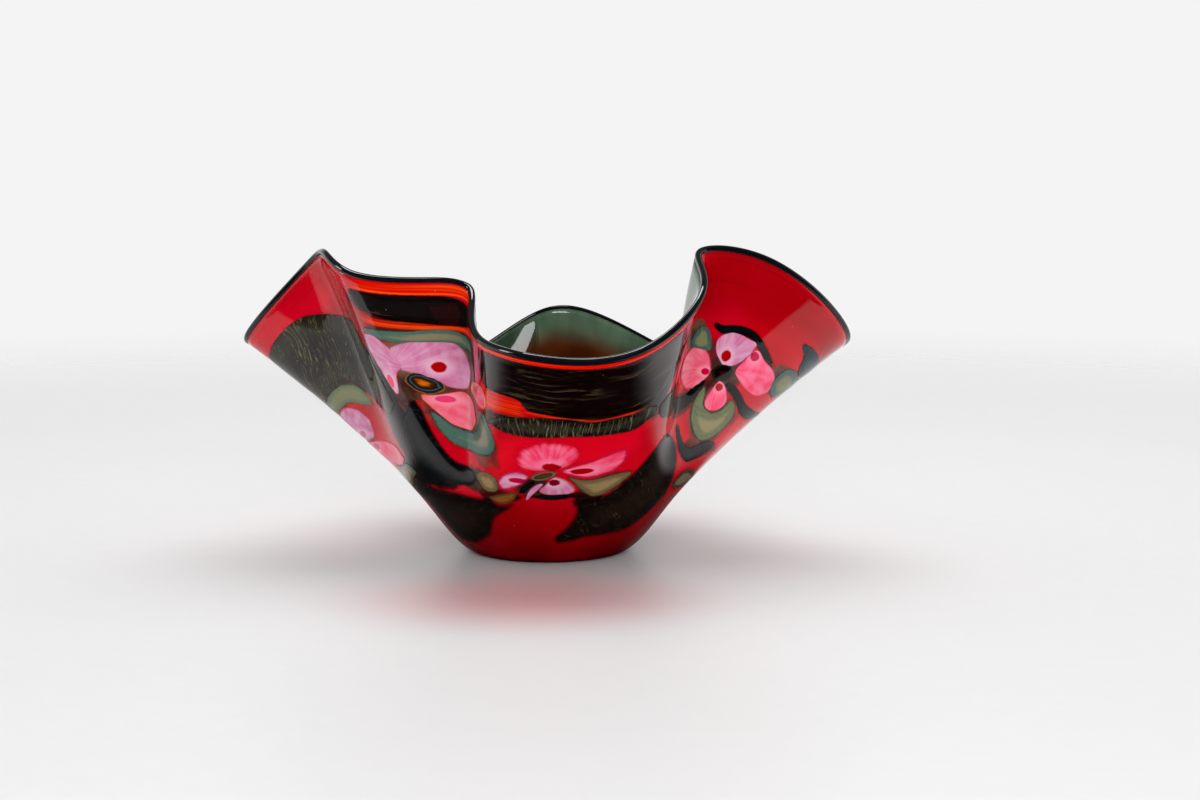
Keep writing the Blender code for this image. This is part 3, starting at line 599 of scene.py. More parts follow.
# ---- The lip wrap ----
# A trail of black glass wrapped hot on the rim and melted round, so that the edge is a smooth
# bead a little proud of both faces of the wall.

LIP_HEIGHT = 2.5
LIP_PROUD = 0.35
LIP_SUNK = 0.9              # the bead has melted down over the rim
LIP_SIDES = 20
LIP_COLUMNS = 700
LIP_SQUARENESS = 2.6        # 2 is an ellipse, more is squarer

lip_glass, tree, shader, seed = polished_glass("lip_wrap", 0.03)
across, up, place = pattern_place(tree)
cord = stretched_noise(tree, place, 0.01, 0.25, 2.0, 2.0)
tree.links.new(melt(fade(cord, 0.4, 0.7), tint(9, 10, 12), tint(28, 32, 38)), shader.inputs["Base Color"])


def lip_point(across, up):
    """Bead round the rim, the second value a turn from 0 to 360 instead of a height."""
    start, _, climb, out = wall_frame(across, np.full_like(across, PATTERN_HEIGHT))
    half_width = (RUBY_WALL + SKIN + INNER_CASING + 2 * LIP_PROUD) / 2
    half_height = (LIP_HEIGHT + SKIN + LIP_SUNK) / 2
    turn = np.radians(up)
    reach = (np.abs(np.cos(turn)) ** LIP_SQUARENESS
             + np.abs(np.sin(turn)) ** LIP_SQUARENESS) ** (-1.0 / LIP_SQUARENESS)
    sideways = LIP_PROUD - half_width + half_width * reach * np.cos(turn)
    upwards = half_height - LIP_SUNK + half_height * reach * np.sin(turn)
    return start + out * sideways[:, None] + climb * upwards[:, None]


lip = swept_sheet(LIP_COLUMNS, LIP_SIDES, np.linspace(0.0, 360.0, LIP_SIDES + 1), lip_point)
add_piece("lip_wrap_bead", lip, lip_glass, "lip_wrap")

# ---- The front flower ----
# Petals cut from pink and lilac sheet, laid hot on the ruby and melted almost flush. Each keeps
# its dark root spot, a pale veil and a hot pink edge that bleeds into the red.

LAID_PROUD = 0.30           # how far laid-on glass stands out in its middle
BORDER_PROUD = 0.12         # and at its melted border
LAID_ROOT = -0.35           # it is sunk this far into the ruby
MELT_WIDTH = 2.5            # millimetres from border to full height
CELLS = (0.7, 1.8)          # smallest and largest facets of the laid-on sheets
CURVE_STEPS = 5


def curve_through(points, steps=CURVE_STEPS):
    """Smooth open curve through the points, with some straight steps between each two."""
    line = [Vector(point) for point in points]
    line = [2 * line[0] - line[1]] + line + [2 * line[-1] - line[-2]]
    result = []
    for before, start, end, after in zip(line, line[1:], line[2:], line[3:]):
        for k in range(steps):
            q = k / steps
            result.append(0.5 * (2 * start + (end - before) * q
                                 + (2 * before - 5 * start + 4 * end - after) * q ** 2
                                 + (3 * start - before - 3 * end + after) * q ** 3))
    return result + [line[-2]]


def lens(first_edge, second_edge):
    """Cut shape between two edges. The second leaves out the ends, which are the first's."""
    there = curve_through(first_edge)
    back = curve_through([first_edge[0], *second_edge, first_edge[-1]])
    return there + back[-2:0:-1], there[0], there[-1]


def stroke(rows):
    """Tapered trail of glass along rows of across, up and half width."""
    line = curve_through([Vector(row) for row in rows])
    sides = ([], [])
    for k, point in enumerate(line[1:-1], start=1):
        heading = (line[k + 1] - line[k - 1]).to_2d().normalized()
        side = Vector((-heading.y, heading.x)) * max(point.z, 0.0)
        sides[0].append(point.to_2d() + side)
        sides[1].append(point.to_2d() - side)
    start, end = line[0].to_2d(), line[-1].to_2d()
    return [start] + sides[0] + [end] + sides[1][::-1], start, end


def petal(root, tip, half_width):
    """Teardrop petal, pointed at its root and round at its tip."""
    root = Vector(root)
    length = Vector(tip) - root
    side = Vector((-length.y, length.x)).normalized() * half_width
    steps = 18
    sides = ([], [])
    for k in range(1, steps):
        share = 0.5 * (math.sin(k / steps * math.pi / 2) ** 2 + k / steps)
        swell = 2.6 * share * math.sqrt(1.0 - share)
        sides[0].append(root + length * share + side * swell)
        sides[1].append(root + length * share - side * swell)
    return [root] + sides[0] + [root + length] + sides[1][::-1], root, root + length


def spread(outline, root, distance):
    """Outline after the hot sheet has run out by a distance all round."""
    squeeze = wall_squeeze(root)
    count = len(outline)
    turning = sum(a.x * b.y - b.x * a.y for a, b in zip(outline, outline[1:] + outline[:1]))
    side = 1.0 if turning > 0.0 else -1.0
    wider = []
    for k, point in enumerate(outline):
        ahead = outline[(k + 1) % count] - outline[k - 1]
        away = Vector((ahead.y, -ahead.x * squeeze)).normalized() * (distance * side)
        wider.append(Vector((point.x + away.x / squeeze, min(point.y + away.y, PATTERN_HEIGHT - 1))))
    return wider


def wall_squeeze(spot):
    """True length of one millimetre across the pattern at a spot."""
    here = wall_point(np.array([spot.x - 0.5, spot.x + 0.5]), np.array([spot.y, spot.y]))
    return float(np.linalg.norm(here[1] - here[0]))


def lay_glass(name, cut, material, run_out):
    """Cuts an outline from flat sheet, lays it on the wall and melts it in."""
    outline, root, tip = cut
    outline = spread([point.to_2d() for point in outline], root, run_out)
    flat = bmesh.new()
    whole = flat.faces.new([flat.verts.new((point.x, point.y, 0.0)) for point in outline])
    cell = min(max(whole.calc_area() / whole.calc_perimeter(), CELLS[0]), CELLS[1])
    for axis in (0, 1):
        low = min(point[axis] for point in outline)
        high = max(point[axis] for point in outline)
        facing = Vector((axis == 0, axis == 1, 0.0))
        for k in range(math.ceil(low / cell), math.floor(high / cell) + 1):
            bmesh.ops.bisect_plane(flat, geom=flat.verts[:] + flat.edges[:] + flat.faces[:],
                                   dist=0.01, plane_co=facing * (k * cell), plane_no=facing)
    bmesh.ops.triangulate(flat, faces=[face for face in flat.faces if len(face.verts) > 4])
    raised = bmesh.ops.extrude_face_region(flat, geom=flat.faces[:], use_keep_orig=True)
    for vert in raised["geom"]:
        if isinstance(vert, bmesh.types.BMVert):
            vert.co.z = 1.0
    bmesh.ops.recalc_face_normals(flat, faces=flat.faces)
    piece = add_piece(name + "_laid", flat, material, name)
    mesh = piece.data
    across, up, top = mesh_numbers(mesh.vertices, "co", 3).T
    ends = np.array([tuple(point) for point in outline] + [tuple(outline[0])])
    parts = np.linspace(0.0, 1.0, 9)[:-1, None, None]
    border = (ends[:-1] * (1.0 - parts) + ends[1:] * parts).reshape(-1, 2)
    border = wall_point(border[:, 0], border[:, 1])
    point, _, _, out = wall_frame(across, up)
    inland = np.array([np.linalg.norm(border - spot, axis=1).min() for spot in point])
    bulge = np.clip(inland / MELT_WIDTH, 0.0, 1.0)
    bulge = bulge * bulge * (3.0 - 2.0 * bulge)
    proud = BORDER_PROUD + (LAID_PROUD - BORDER_PROUD) * bulge
    lift = np.where(top > 0.5, proud, LAID_ROOT)
    mesh.vertices.foreach_set("co", ((point + out * lift[:, None]) * MM).ravel())
    for label, values in (("inland", inland), ("depth", inland / inland.max())):
        mesh.attributes.new(label, "FLOAT", "POINT").data.foreach_set("value", values)
    corners = mesh_numbers(mesh.loops, "vertex_index", 1).astype(int).ravel()
    squeeze = wall_squeeze(root)
    axis = np.array([(tip.x - root.x) * squeeze, tip.y - root.y])
    size = np.dot(axis, axis)
    away = np.stack([(across - root.x) * squeeze, up - root.y], axis=1)
    local = np.stack([away @ axis, away[:, 1] * axis[0] - away[:, 0] * axis[1]], axis=1) / size
    for label, values in (("pattern", np.stack([across, up], axis=1)), ("cut", local)):
        layer = mesh.uv_layers.new(name=label)
        layer.data.foreach_set("uv", values[corners].astype(np.float32).ravel())
    mesh.set_sharp_from_angle(angle=math.radians(50))
    mesh.update()
    return piece


def mark_on(tree, label):
    """Reads a number that the cutting left on the mesh."""
    return add_node(tree, "Attribute", attribute_name=label).outputs["Fac"]


petal_melt, given, done = new_group("petal_melt", (
    ("Body", "Color", (1, 1, 1, 1)), ("Pale", "Color", (1, 1, 1, 1)), ("Edge", "Color", (1, 1, 1, 1)),
    ("Spot", "Color", (1, 1, 1, 1)), ("Spot place", "Vector", (0, 0, 0)),
    ("Spot size", "Vector", (1, 1, 1)), ("Soft", "Float", 2.0), ("Veil", "Float", 0.6),
    ("Seed", "Float", 0.0)), (("Color", "Color"), ("Cover", "Float")))
tree = petal_melt
_, _, place = pattern_place(tree)
inland = mark_on(tree, "inland")
cut = add_node(tree, "SeparateXYZ", {0: add_node(tree, "UVMap", uv_map="cut").outputs[0]})
fan = work_out("ARCTAN2", cut.outputs[1], plus(cut.outputs[0], 0.15))
streak_at = add_node(tree, "CombineXYZ", {0: times(fan, 5.5),
                                          1: times(cut.outputs[0], 0.9),
                                          2: given["Seed"]}).outputs[0]
streak = noise(streak_at, 1.6, 4.0)
cloud_at = add_node(tree, "Mapping", {"Vector": place, "Scale": (0.09, 0.12, 1.0),
                                      "Location": (4.0, 9.0, 2.0)}).outputs[0]
cloud = noise(cloud_at, 1.0, 2.0)
ragged = times(minus(streak, 0.5), times(given["Soft"], 1.1))
worn_inland = plus(inland, ragged)
inner = work_out("DIVIDE", worn_inland, given["Soft"])
colour = melt(fade(inner, 0.7, 2.4), given["Edge"], given["Body"])
veil = plus(times(fade(streak, 0.38, 0.62), 0.5), times(fade(cloud, 0.38, 0.62), 0.5))
veil = times(times(veil, given["Veil"]), fade(inner, 0.8, 2.0))
colour = melt(veil, colour, given["Pale"])
away = combine("SUBTRACT", place, given["Spot place"])
away = combine("DIVIDE", away, given["Spot size"])
away = length_of(away)
away = plus(away, times(minus(streak, 0.5), 0.5))
halo = times(fade(away, 1.0, 2.6, 0.75, 0.0), fade(inner, 0.6, 1.6))
colour = melt(halo, colour, given["Pale"])
colour = melt(fade(away, 0.85, 1.12, 1.0, 0.0), colour, given["Spot"])
tree.links.new(colour, done.inputs["Color"])
cover = times(fade(inner, 0.1, 1.6), fade(inland, 0.35, 1.3))
tree.links.new(cover, done.inputs["Cover"])


def melted_glass(name, group, sockets):
    """Material of one laid-on piece, from a melt group and its values."""
    material, tree, shader, seed = polished_glass(name)
    melted = add_node(tree, "Group", sockets, node_tree=group)
    tree.links.new(melt(times(seed, 0.22), melted.outputs["Color"],
                        tint(190, 180, 176)), shader.inputs["Base Color"])
    tree.links.new(melted.outputs["Cover"], shader.inputs["Alpha"])
    return material


HOT_PINK = tint(250, 60, 104)
ROSE = tint(255, 138, 172)
LILAC = tint(198, 106, 150)
PALE_LILAC = tint(228, 178, 204)
CORAL = tint(232, 84, 112)
MAGENTA = tint(226, 0, 72)
DARK_RED = tint(168, 0, 14)
PETAL_TINTS = {"pink": (HOT_PINK, ROSE), "lilac": (LILAC, PALE_LILAC),
               "coral": (CORAL, tint(238, 146, 160))}


def lay_petals(rows):
    """Lays petals: name, glass, outline, spot place, spot half size, spot and edge colour, softness."""
    for k, (name, sheet, cut, spot_at, spot_size, spot, edge, soft) in enumerate(rows):
        body, pale = PETAL_TINTS[sheet]
        lay_glass(name, cut, melted_glass(name, petal_melt, {
            "Body": body, "Pale": pale, "Edge": edge, "Spot": spot,
            "Spot place": (*spot_at, 0.0), "Spot size": (*spot_size, 1.0), "Soft": soft,
            "Seed": 3.7 * k + len(name)}), 1.1 + 0.65 * soft)


lay_petals([
    ("front_petal_top", "pink", lens(
        [(3, 119), (-12, 117.8), (-23, 119.5), (-27, 126), (-19, 135), (0, 141.5)],
        [(14, 121.5), (24, 126), (28, 133), (21, 140)]),
     (6, 122), (8.5, 3.1), DARK_RED, tint(236, 10, 50), 4.2),
    ("front_petal_right", "pink", lens(
        [(15, 118.8), (26, 122.5), (40, 126), (60, 130.5), (72, 130), (75, 125)],
        [(25, 115.5), (40, 112.5), (58, 114.8), (70, 119)]),
     (33, 118.4), (11, 2.6), DARK_RED, tint(230, 20, 70), 3.0),
    ("front_petal_left", "lilac", lens(
        [(-16, 113.4), (-27, 116), (-42, 113), (-52, 107.5), (-54, 104)],
        [(-25, 106.5), (-38, 101.5), (-49, 100.8)]),
     (-28, 109), (11, 2.3), tint(190, 0, 60), tint(206, 30, 90), 1.8),
    ("front_petal_bottom", "lilac", lens(
        [(9, 113), (1, 105.5), (-5, 100.3), (-1, 97.3), (8, 96.3)],
        [(18, 110.5), (28, 103), (25, 97.8)]),
     (9, 108.5), (5.5, 3.0), tint(120, 0, 30), tint(200, 90, 100), 1.3),
    ("front_petal_curl", "lilac", stroke(
        [(-2, 107.5, 0), (-9, 103, 1.8), (-16, 97, 1.6), (-22, 89, 0)]),
     (0, 109), (3, 3), MAGENTA, tint(170, 80, 140), 0.5),
])

# ---- The leaves and vines of the front ----
# Leaves are combed from tan, olive and teal glass, so fine threads run along them between a
# dark outline and a paler heart. The vine is a broad smoky trail with a soft border.

comb_melt, given, done = new_group("comb_melt", (
    ("Heart", "Color", (1, 1, 1, 1)), ("Body", "Color", (1, 1, 1, 1)), ("Rim", "Color", (0, 0, 0, 1)),
    ("Thread", "Color", (1, 1, 1, 1)), ("Threads", "Float", 0.5), ("Rim share", "Float", 0.2),
    ("Heart share", "Float", 0.6), ("Soft", "Float", 2.0), ("Comb", "Float", 0.0),
    ("Fine", "Float", 1.0), ("Swirl", "Float", 4.0), ("Seed", "Float", 0.0)),
    (("Color", "Color"), ("Cover", "Float")))
tree = comb_melt
_, _, place = pattern_place(tree)
inland = mark_on(tree, "inland")
depth = mark_on(tree, "depth")
seeded = add_node(tree, "CombineXYZ", {2: given["Seed"]}).outputs[0]
place = combine("ADD", place, seeded)
push = add_node(tree, "TexNoise", {"Vector": place, "Scale": 0.035, "Detail": 1.0}).outputs["Color"]
push = combine("SUBTRACT", push, (0.5, 0.5, 0.5))
push = add_node(tree, "VectorMath", {0: push}, operation="SCALE")
tree.links.new(times(given["Swirl"], 6.0), push.inputs["Scale"])
pushed = combine("ADD", place, push.outputs[0])
turned = add_node(tree, "VectorRotate", {"Vector": pushed, "Angle": given["Comb"]},
                  rotation_type="Z_AXIS").outputs[0]
drawn = combine("MULTIPLY", turned, (0.045, 0.85, 1.0))
fine = add_node(tree, "TexNoise", {"Vector": drawn, "Scale": given["Fine"],
                                   "Detail": 5.0, "Roughness": 0.6}).outputs[0]
broad = noise(drawn, 0.22, 2.0)
reach = plus(depth, times(minus(fine, 0.5), 0.35))
to_body = minus(reach, given["Rim share"])
to_heart = minus(reach, given["Heart share"])
colour = melt(fade(to_body, -0.08, 0.12), given["Rim"], given["Body"])
colour = melt(fade(to_heart, -0.12, 0.2), colour, given["Heart"])
threads = times(fade(fine, 0.50, 0.68), fade(broad, 0.36, 0.62))
threads = times(threads, given["Threads"])
colour = melt(threads, colour, given["Thread"])
ragged = times(minus(fine, 0.5), times(given["Soft"], 0.8))
worn = work_out("DIVIDE", plus(inland, ragged), given["Soft"])
tree.links.new(colour, done.inputs["Color"])
cover = times(fade(worn, 0.1, 1.4), fade(inland, 0.3, 1.2))
tree.links.new(cover, done.inputs["Cover"])

SMOKE = {"Heart": tint(34, 26, 22), "Body": tint(22, 18, 16), "Rim": tint(10, 9, 9),
         "Thread": tint(96, 78, 60), "Threads": 0.35, "Rim share": 0.15, "Heart share": 0.5,
         "Soft": 3.5, "Comb": 0.25, "Fine": 0.8, "Swirl": 5.0}
VINE = {"Heart": tint(16, 22, 24), "Body": tint(12, 14, 16), "Rim": tint(8, 9, 10),
        "Thread": tint(60, 70, 70), "Threads": 0.25, "Rim share": 0.2, "Heart share": 0.6,
        "Soft": 1.2, "Comb": 0.0, "Fine": 1.0, "Swirl": 2.0}
TAN_LEAF = {"Heart": tint(150, 128, 90), "Body": tint(112, 96, 66), "Rim": tint(20, 30, 30),
            "Thread": tint(40, 34, 28), "Threads": 0.75, "Rim share": 0.16, "Heart share": 0.5,
            "Soft": 1.0, "Comb": 0.0, "Fine": 1.1, "Swirl": 2.5}
TEAL_LEAF = {"Heart": tint(128, 122, 96), "Body": tint(74, 104, 92), "Rim": tint(18, 32, 34),
             "Thread": tint(40, 60, 56), "Threads": 0.55, "Rim share": 0.14, "Heart share": 0.62,
             "Soft": 1.4, "Comb": 0.0, "Fine": 0.8, "Swirl": 3.0}
OLIVE_FEATHER = {"Heart": tint(46, 44, 34), "Body": tint(26, 24, 20), "Rim": tint(14, 12, 12),
                 "Thread": tint(128, 124, 96), "Threads": 0.8, "Rim share": 0.1, "Heart share": 0.5,
                 "Soft": 1.6, "Comb": 1.45, "Fine": 0.9, "Swirl": 2.0}
LEAF_SLOTS = {"black": ("black_vine_glass", VINE), "umber": ("umber_leaf_glass", SMOKE),
              "olive": ("olive_leaf_glass", OLIVE_FEATHER), "teal": ("teal_leaf_glass", TEAL_LEAF),
              "tan": ("tan_leaf_glass", TAN_LEAF)}


def lay_leaves(rows):
    """Lays leaves and trails: name, glass, outline and what differs from that glass's finish."""
    for k, (name, sheet, cut, own) in enumerate(rows):
        slot, finish = LEAF_SLOTS[sheet]
        values = {**finish, "Seed": 11.3 * k + len(name), **own}
        lay_glass(name, cut, melted_glass(name, comb_melt, values), 0.9 + 0.65 * values["Soft"])


lay_leaves([
    ("front_calyx_left", "black", stroke(
        [(-9, 109.8, 0), (-17, 104.8, 1.8), (-24, 100, 1.8), (-29, 96.5, 0)]), {"Soft": 0.5}),
    ("front_calyx", "black", stroke(
        [(-13, 93.5, 0), (0, 93.4, 2.4), (10, 93.3, 2.8), (21, 94.4, 2.2), (30, 96, 0)]), {"Soft": 0.9}),
    ("front_leaf_left", "tan", lens(
        [(-95, 107), (-85, 111), (-70, 111.5), (-59, 109.5), (-56.5, 104)],
        [(-84, 99), (-70, 96.3), (-59, 98.5)]), {}),
    ("front_leaf_low", "tan", lens(
        [(-76, 90.5), (-62, 93.3), (-46, 96), (-33, 98.3)],
        [(-63, 85.2), (-50, 85.2), (-39, 90)]),
     {"Heart": tint(128, 84, 36), "Body": tint(90, 62, 34), "Comb": 0.2}),
    ("front_leaf_right", "tan", lens(
        [(21, 114.2), (32, 110.8), (45, 109.8), (62, 112), (76, 112.6), (90, 111.5)],
        [(30, 106.5), (40, 98.5), (52, 93), (68, 98)]),
     {"Comb": -0.35, "Soft": 1.6}),
    ("front_vine", "umber", lens(
        [(36, 96), (50, 90), (70, 95), (90, 108), (112, 121), (135, 126), (157, 121), (169, 108),
         (172, 95)],
        [(38, 82), (36, 68), (24, 56), (13, 50), (16, 43.5), (35, 45), (60, 49), (100, 50.5),
         (145, 55), (168, 72)]), {"Comb": 0.35}),
    ("front_shade", "umber", lens(
        [(-58, 184), (-46, 195), (0, 195.6), (40, 195.6), (70, 195.4), (94, 193), (106, 176)],
        [(-54, 172.5), (-30, 171), (-17, 169.5), (-11, 163.8), (5, 162), (25, 159.8), (38, 158.6),
         (60, 158.6), (88, 158.6)]),
     {"Comb": 0.0, "Soft": 1.0, "Threads": 0.4, "Swirl": 1.0, "Fine": 0.5,
      "Body": tint(20, 9, 8), "Heart": tint(20, 9, 12), "Rim": tint(16, 8, 7),
      "Thread": tint(110, 92, 66)}),
    ("front_fringe", "olive", lens(
        [(-52, 149), (-35, 153.8), (-10, 157), (10, 157.5), (30, 155), (50, 154.5), (76, 154.5),
         (96, 150)],
        [(-35, 145.6), (-15, 144.8), (5, 146), (20, 147), (50, 146), (76, 144.4)]), {}),
])

# ---- The flower centres ----
# Each flower has a small bead of dark glass at its heart, with rings of amber, black and teal
# that show one inside another where the bead was melted flat.


def eye_glass(name, rings, border):
    """Material of ringed glass: shares of the depth with their colours."""
    material, tree, shader, seed = polished_glass(name)
    depth = mark_on(tree, "depth")
    _, _, place = pattern_place(tree)
    wobble = stretched_noise(tree, place, 0.12, 0.3, 6.0, 2.0)
    depth = plus(depth, times(minus(wobble, 0.5), 0.25))
    ringed = add_node(tree, "ValToRGB", {0: depth})
    ramp = ringed.color_ramp
    ramp.elements[0].color = border
    ramp.elements[1].color = rings[-1][1]
    for share, colour in rings[:-1]:
        ramp.elements.new(share).color = colour
    tree.links.new(ringed.outputs[0], shader.inputs["Base Color"])
    inland = mark_on(tree, "inland")
    tree.links.new(fade(inland, 0.1, 0.8), shader.inputs["Alpha"])
    return material


AMBER_EYE = ((0.10, tint(180, 96, 30)), (0.18, tint(40, 50, 50)), (0.34, tint(16, 22, 24)),
             (0.44, tint(60, 84, 84)), (0.54, tint(18, 20, 20)), (0.72, tint(70, 36, 14)),
             (0.85, tint(190, 90, 20)), (1.0, tint(206, 104, 26)))
BLACK_EYE = ((0.12, tint(34, 34, 26)), (0.4, tint(8, 10, 12)), (0.7, tint(20, 10, 8)),
             (1.0, tint(60, 16, 8)))
MOSS_EYE = ((0.12, tint(60, 62, 44)), (0.4, tint(112, 108, 80)), (0.6, tint(40, 38, 28)),
            (0.8, tint(96, 60, 34)), (1.0, tint(30, 40, 40)))


def lay_centre(name, cut, rings, border=tint(150, 60, 20)):
    lay_glass(name, cut, eye_glass(name, rings, border), 1.2)


lay_centre("front_flower_centre", stroke(
    [(-14, 111.5, 0), (-7, 113, 2.6), (3, 115.2, 2.6), (11, 117, 0)]), MOSS_EYE)
lay_centre("left_front_eye", lens(
    [(-161, 153.5), (-152, 157.2), (-140, 156.3), (-130, 153.6), (-126, 150.8)],
    [(-152, 150), (-140, 148.8)]), AMBER_EYE)
lay_centre("left_flower_centre", lens(
    [(-343, 127), (-336, 130.5), (-328, 130.5), (-321, 127)],
    [(-336, 123.5), (-328, 123.5)]), MOSS_EYE)
lay_centre("right_flower_centre", lens(
    [(190, 151), (197, 153.8), (206, 154.2), (212, 152)],
    [(197, 148.6), (205, 148.6)]), BLACK_EYE, tint(40, 30, 20))
lay_centre("back_right_centre", stroke(
    [(389, 150, 0), (396, 151, 2.8), (404, 151, 2.8), (411, 150, 0)]), BLACK_EYE)
lay_centre("back_left_centre", stroke(
    [(-511, 134, 0), (-504, 135, 2.8), (-496, 135, 2.8), (-489, 134, 0)]), AMBER_EYE)

# ---- The left front flower ----
# A large open flower on the left front lobe, lilac above and coral below, between a teal leaf
# and a ringed one, under a smoky band.

lay_petals([
    ("left_front_petal_left", "lilac", lens(
        [(-162, 160), (-166, 166), (-177, 171), (-187, 169), (-188, 164)],
        [(-168, 156.5), (-172, 147), (-179, 153)]),
     (-175, 152), (3, 3), CORAL, tint(214, 90, 110), 0.9),
    ("left_front_petal_top", "lilac", lens(
        [(-162, 159.2), (-167, 166), (-152, 170.5), (-133, 171.4), (-115, 170.2), (-103, 162)],
        [(-147, 157.6), (-133, 155.3), (-121, 152.5), (-108, 153.5)]),
     (-130, 160.5), (6.5, 2.4), DARK_RED, tint(190, 110, 130), 1.2),
    ("left_front_petal_low", "coral", lens(
        [(-150, 147), (-136, 146.8), (-122, 148), (-108, 149.5), (-93, 147.5), (-88, 142)],
        [(-140, 142.5), (-130, 138.5), (-117, 134.5), (-102, 134.5)]),
     (-126, 146), (10, 1.6), tint(230, 60, 110), tint(240, 96, 60), 0.9),
    ("left_front_petal_right", "coral", lens(
        [(-103, 154), (-94, 159), (-76, 164.5), (-60, 167.5), (-55, 163)],
        [(-85, 154.2), (-68, 154.8), (-57, 157)]),
     (-96, 156), (5, 1.5), tint(250, 150, 60), tint(250, 130, 50), 1.2),
])
lay_leaves([
    ("left_front_shade", "umber", lens(
        [(-186, 188), (-178, 192), (-140, 192.6), (-112, 191.6), (-100, 187)],
        [(-178, 184), (-145, 181.4), (-112, 180.6)]),
     {"Heart": tint(26, 22, 22), "Body": tint(22, 16, 16), "Comb": 0.0, "Soft": 0.9, "Swirl": 0.6,
      "Threads": 0.35}),
    ("left_front_leaf_top", "teal", lens(
        [(-188, 173), (-170, 174.6), (-150, 175.6), (-130, 176.8), (-112, 176), (-98, 172)],
        [(-170, 172), (-150, 171.4), (-130, 171.8), (-112, 171.4)]),
     {"Comb": 0.0, "Soft": 0.8}),
    ("left_front_leaf_low", "teal", lens(
        [(-143, 140.5), (-130, 136), (-116, 132), (-100, 132), (-84, 137), (-79, 148), (-64, 151),
         (-54, 143)],
        [(-135, 132), (-120, 125), (-100, 123), (-75, 124), (-58, 127),
         (-50, 134)]), {"Comb": 0.1, "Soft": 2.0}),
])

# ---- The left lobe ----
# The left lobe carries a dark feathered leaf with an olive fringe, a lilac flower seen from its
# side, and the broad smoky leaf that runs down to the foot.

lay_petals([
    ("left_petal_high", "lilac", lens(
        [(-317, 129.5), (-308, 140), (-285, 142.6), (-265, 138), (-253, 131)],
        [(-300, 125.5), (-275, 123.5), (-259, 125.5)]),
     (-292, 127.5), (9, 2), tint(200, 90, 120), tint(210, 80, 110), 1.2),
    ("left_petal_low", "pink", lens(
        [(-317, 123.5), (-298, 121.5), (-270, 120), (-240, 117.5), (-216, 114.6), (-205, 110)],
        [(-302, 112), (-277, 106), (-240, 104.5), (-217, 105.5)]),
     (-285, 118), (14, 2.2), tint(214, 80, 120), tint(220, 80, 110), 1.4),
    ("left_petal_back", "lilac", petal((-347, 127), (-398, 131), 10.5),
     (-358, 128), (6, 2.6), DARK_RED, MAGENTA, 1.4),
])
lay_leaves([
    ("left_leaf_big", "umber", lens(
        [(-38, 86), (-50, 82.3), (-64, 82.3), (-80, 90), (-100, 88.5), (-120, 91), (-142, 92), (-168, 93),
         (-195, 96), (-207, 82)],
        [(-48, 79), (-65, 73), (-85, 66), (-100, 56), (-118, 45), (-150, 38), (-185, 38),
         (-203, 52)]), {"Comb": -0.3}),
    ("left_vine", "black", lens(
        [(-97.5, 106), (-106, 111), (-121, 114), (-136, 121), (-148, 131), (-157, 144)],
        [(-106, 100.5), (-125, 98), (-142, 97), (-166, 98), (-178, 110), (-174, 130)]), {"Soft": 2.0}),
    ("left_leaf_dark", "umber", lens(
        [(-310, 185), (-285, 187.5), (-262, 186), (-245, 180.5), (-225, 173), (-208, 169.5), (-197, 161),
         (-188, 150), (-181, 141)],
        [(-313, 168), (-300, 155), (-280, 154.2), (-262, 153.8), (-243, 149.5), (-229, 141),
         (-215, 135.5), (-195, 135)]),
     {"Heart": tint(24, 22, 20), "Body": tint(42, 40, 30), "Rim": tint(34, 34, 28),
      "Thread": tint(128, 116, 80), "Threads": 0.7, "Comb": -0.9, "Fine": 1.1, "Soft": 1.4}),
    ("left_fringe", "olive", lens(
        [(-312, 148.5), (-290, 151.8), (-270, 151.6), (-254, 149), (-242, 145), (-231, 137)],
        [(-295, 145.5), (-270, 145), (-250, 140)]),
     {"Body": tint(96, 112, 84), "Heart": tint(120, 122, 90)}),
    ("left_leaf_tan", "tan", lens(
        [(-270, 97), (-245, 102), (-220, 103), (-201, 106), (-190, 103)],
        [(-245, 91), (-220, 90), (-210, 95)]),
     {"Heart": tint(150, 136, 108), "Body": tint(96, 98, 82)}),
])

# ---- The right lobe ----
# The right flower lies whole on its lobe: pink and lilac petals round a black centre, thin
# black stems, and an olive leaf that rings the lowest petal.

lay_petals([
    ("right_petal_top", "lilac", lens(
        [(198, 155.6), (190, 159.5), (189, 164), (200, 167.5), (214, 167.2), (221, 168)],
        [(207, 156.2), (214, 158.8), (219, 163)]),
     (199, 158.4), (4.6, 2.4), DARK_RED, tint(210, 60, 120), 0.7),
    ("right_petal_right", "pink", lens(
        [(214, 154), (219, 159), (225, 165), (236, 163), (250, 162), (260, 159.5), (264, 155)],
        [(226, 151.4), (240, 150), (255, 150.8)]),
     (225.5, 163), (4.5, 2), tint(190, 0, 60), tint(224, 96, 130), 0.8),
    ("right_petal_left", "coral", lens(
        [(188, 150.8), (181, 157.2), (168, 159.2), (158, 152)],
        [(180, 146.4), (167, 144.8)]),
     (183, 150.6), (4.2, 1.3), tint(200, 0, 60), tint(226, 60, 90), 1.3),
    ("right_petal_low", "pink", lens(
        [(201, 147.2), (196, 143), (191.5, 138.5), (196, 136), (203, 135.4)],
        [(208, 146), (215, 143), (218.5, 140), (212, 136.6)]),
     (203, 145.3), (4.4, 1.7), DARK_RED, tint(206, 50, 60), 0.7),
])
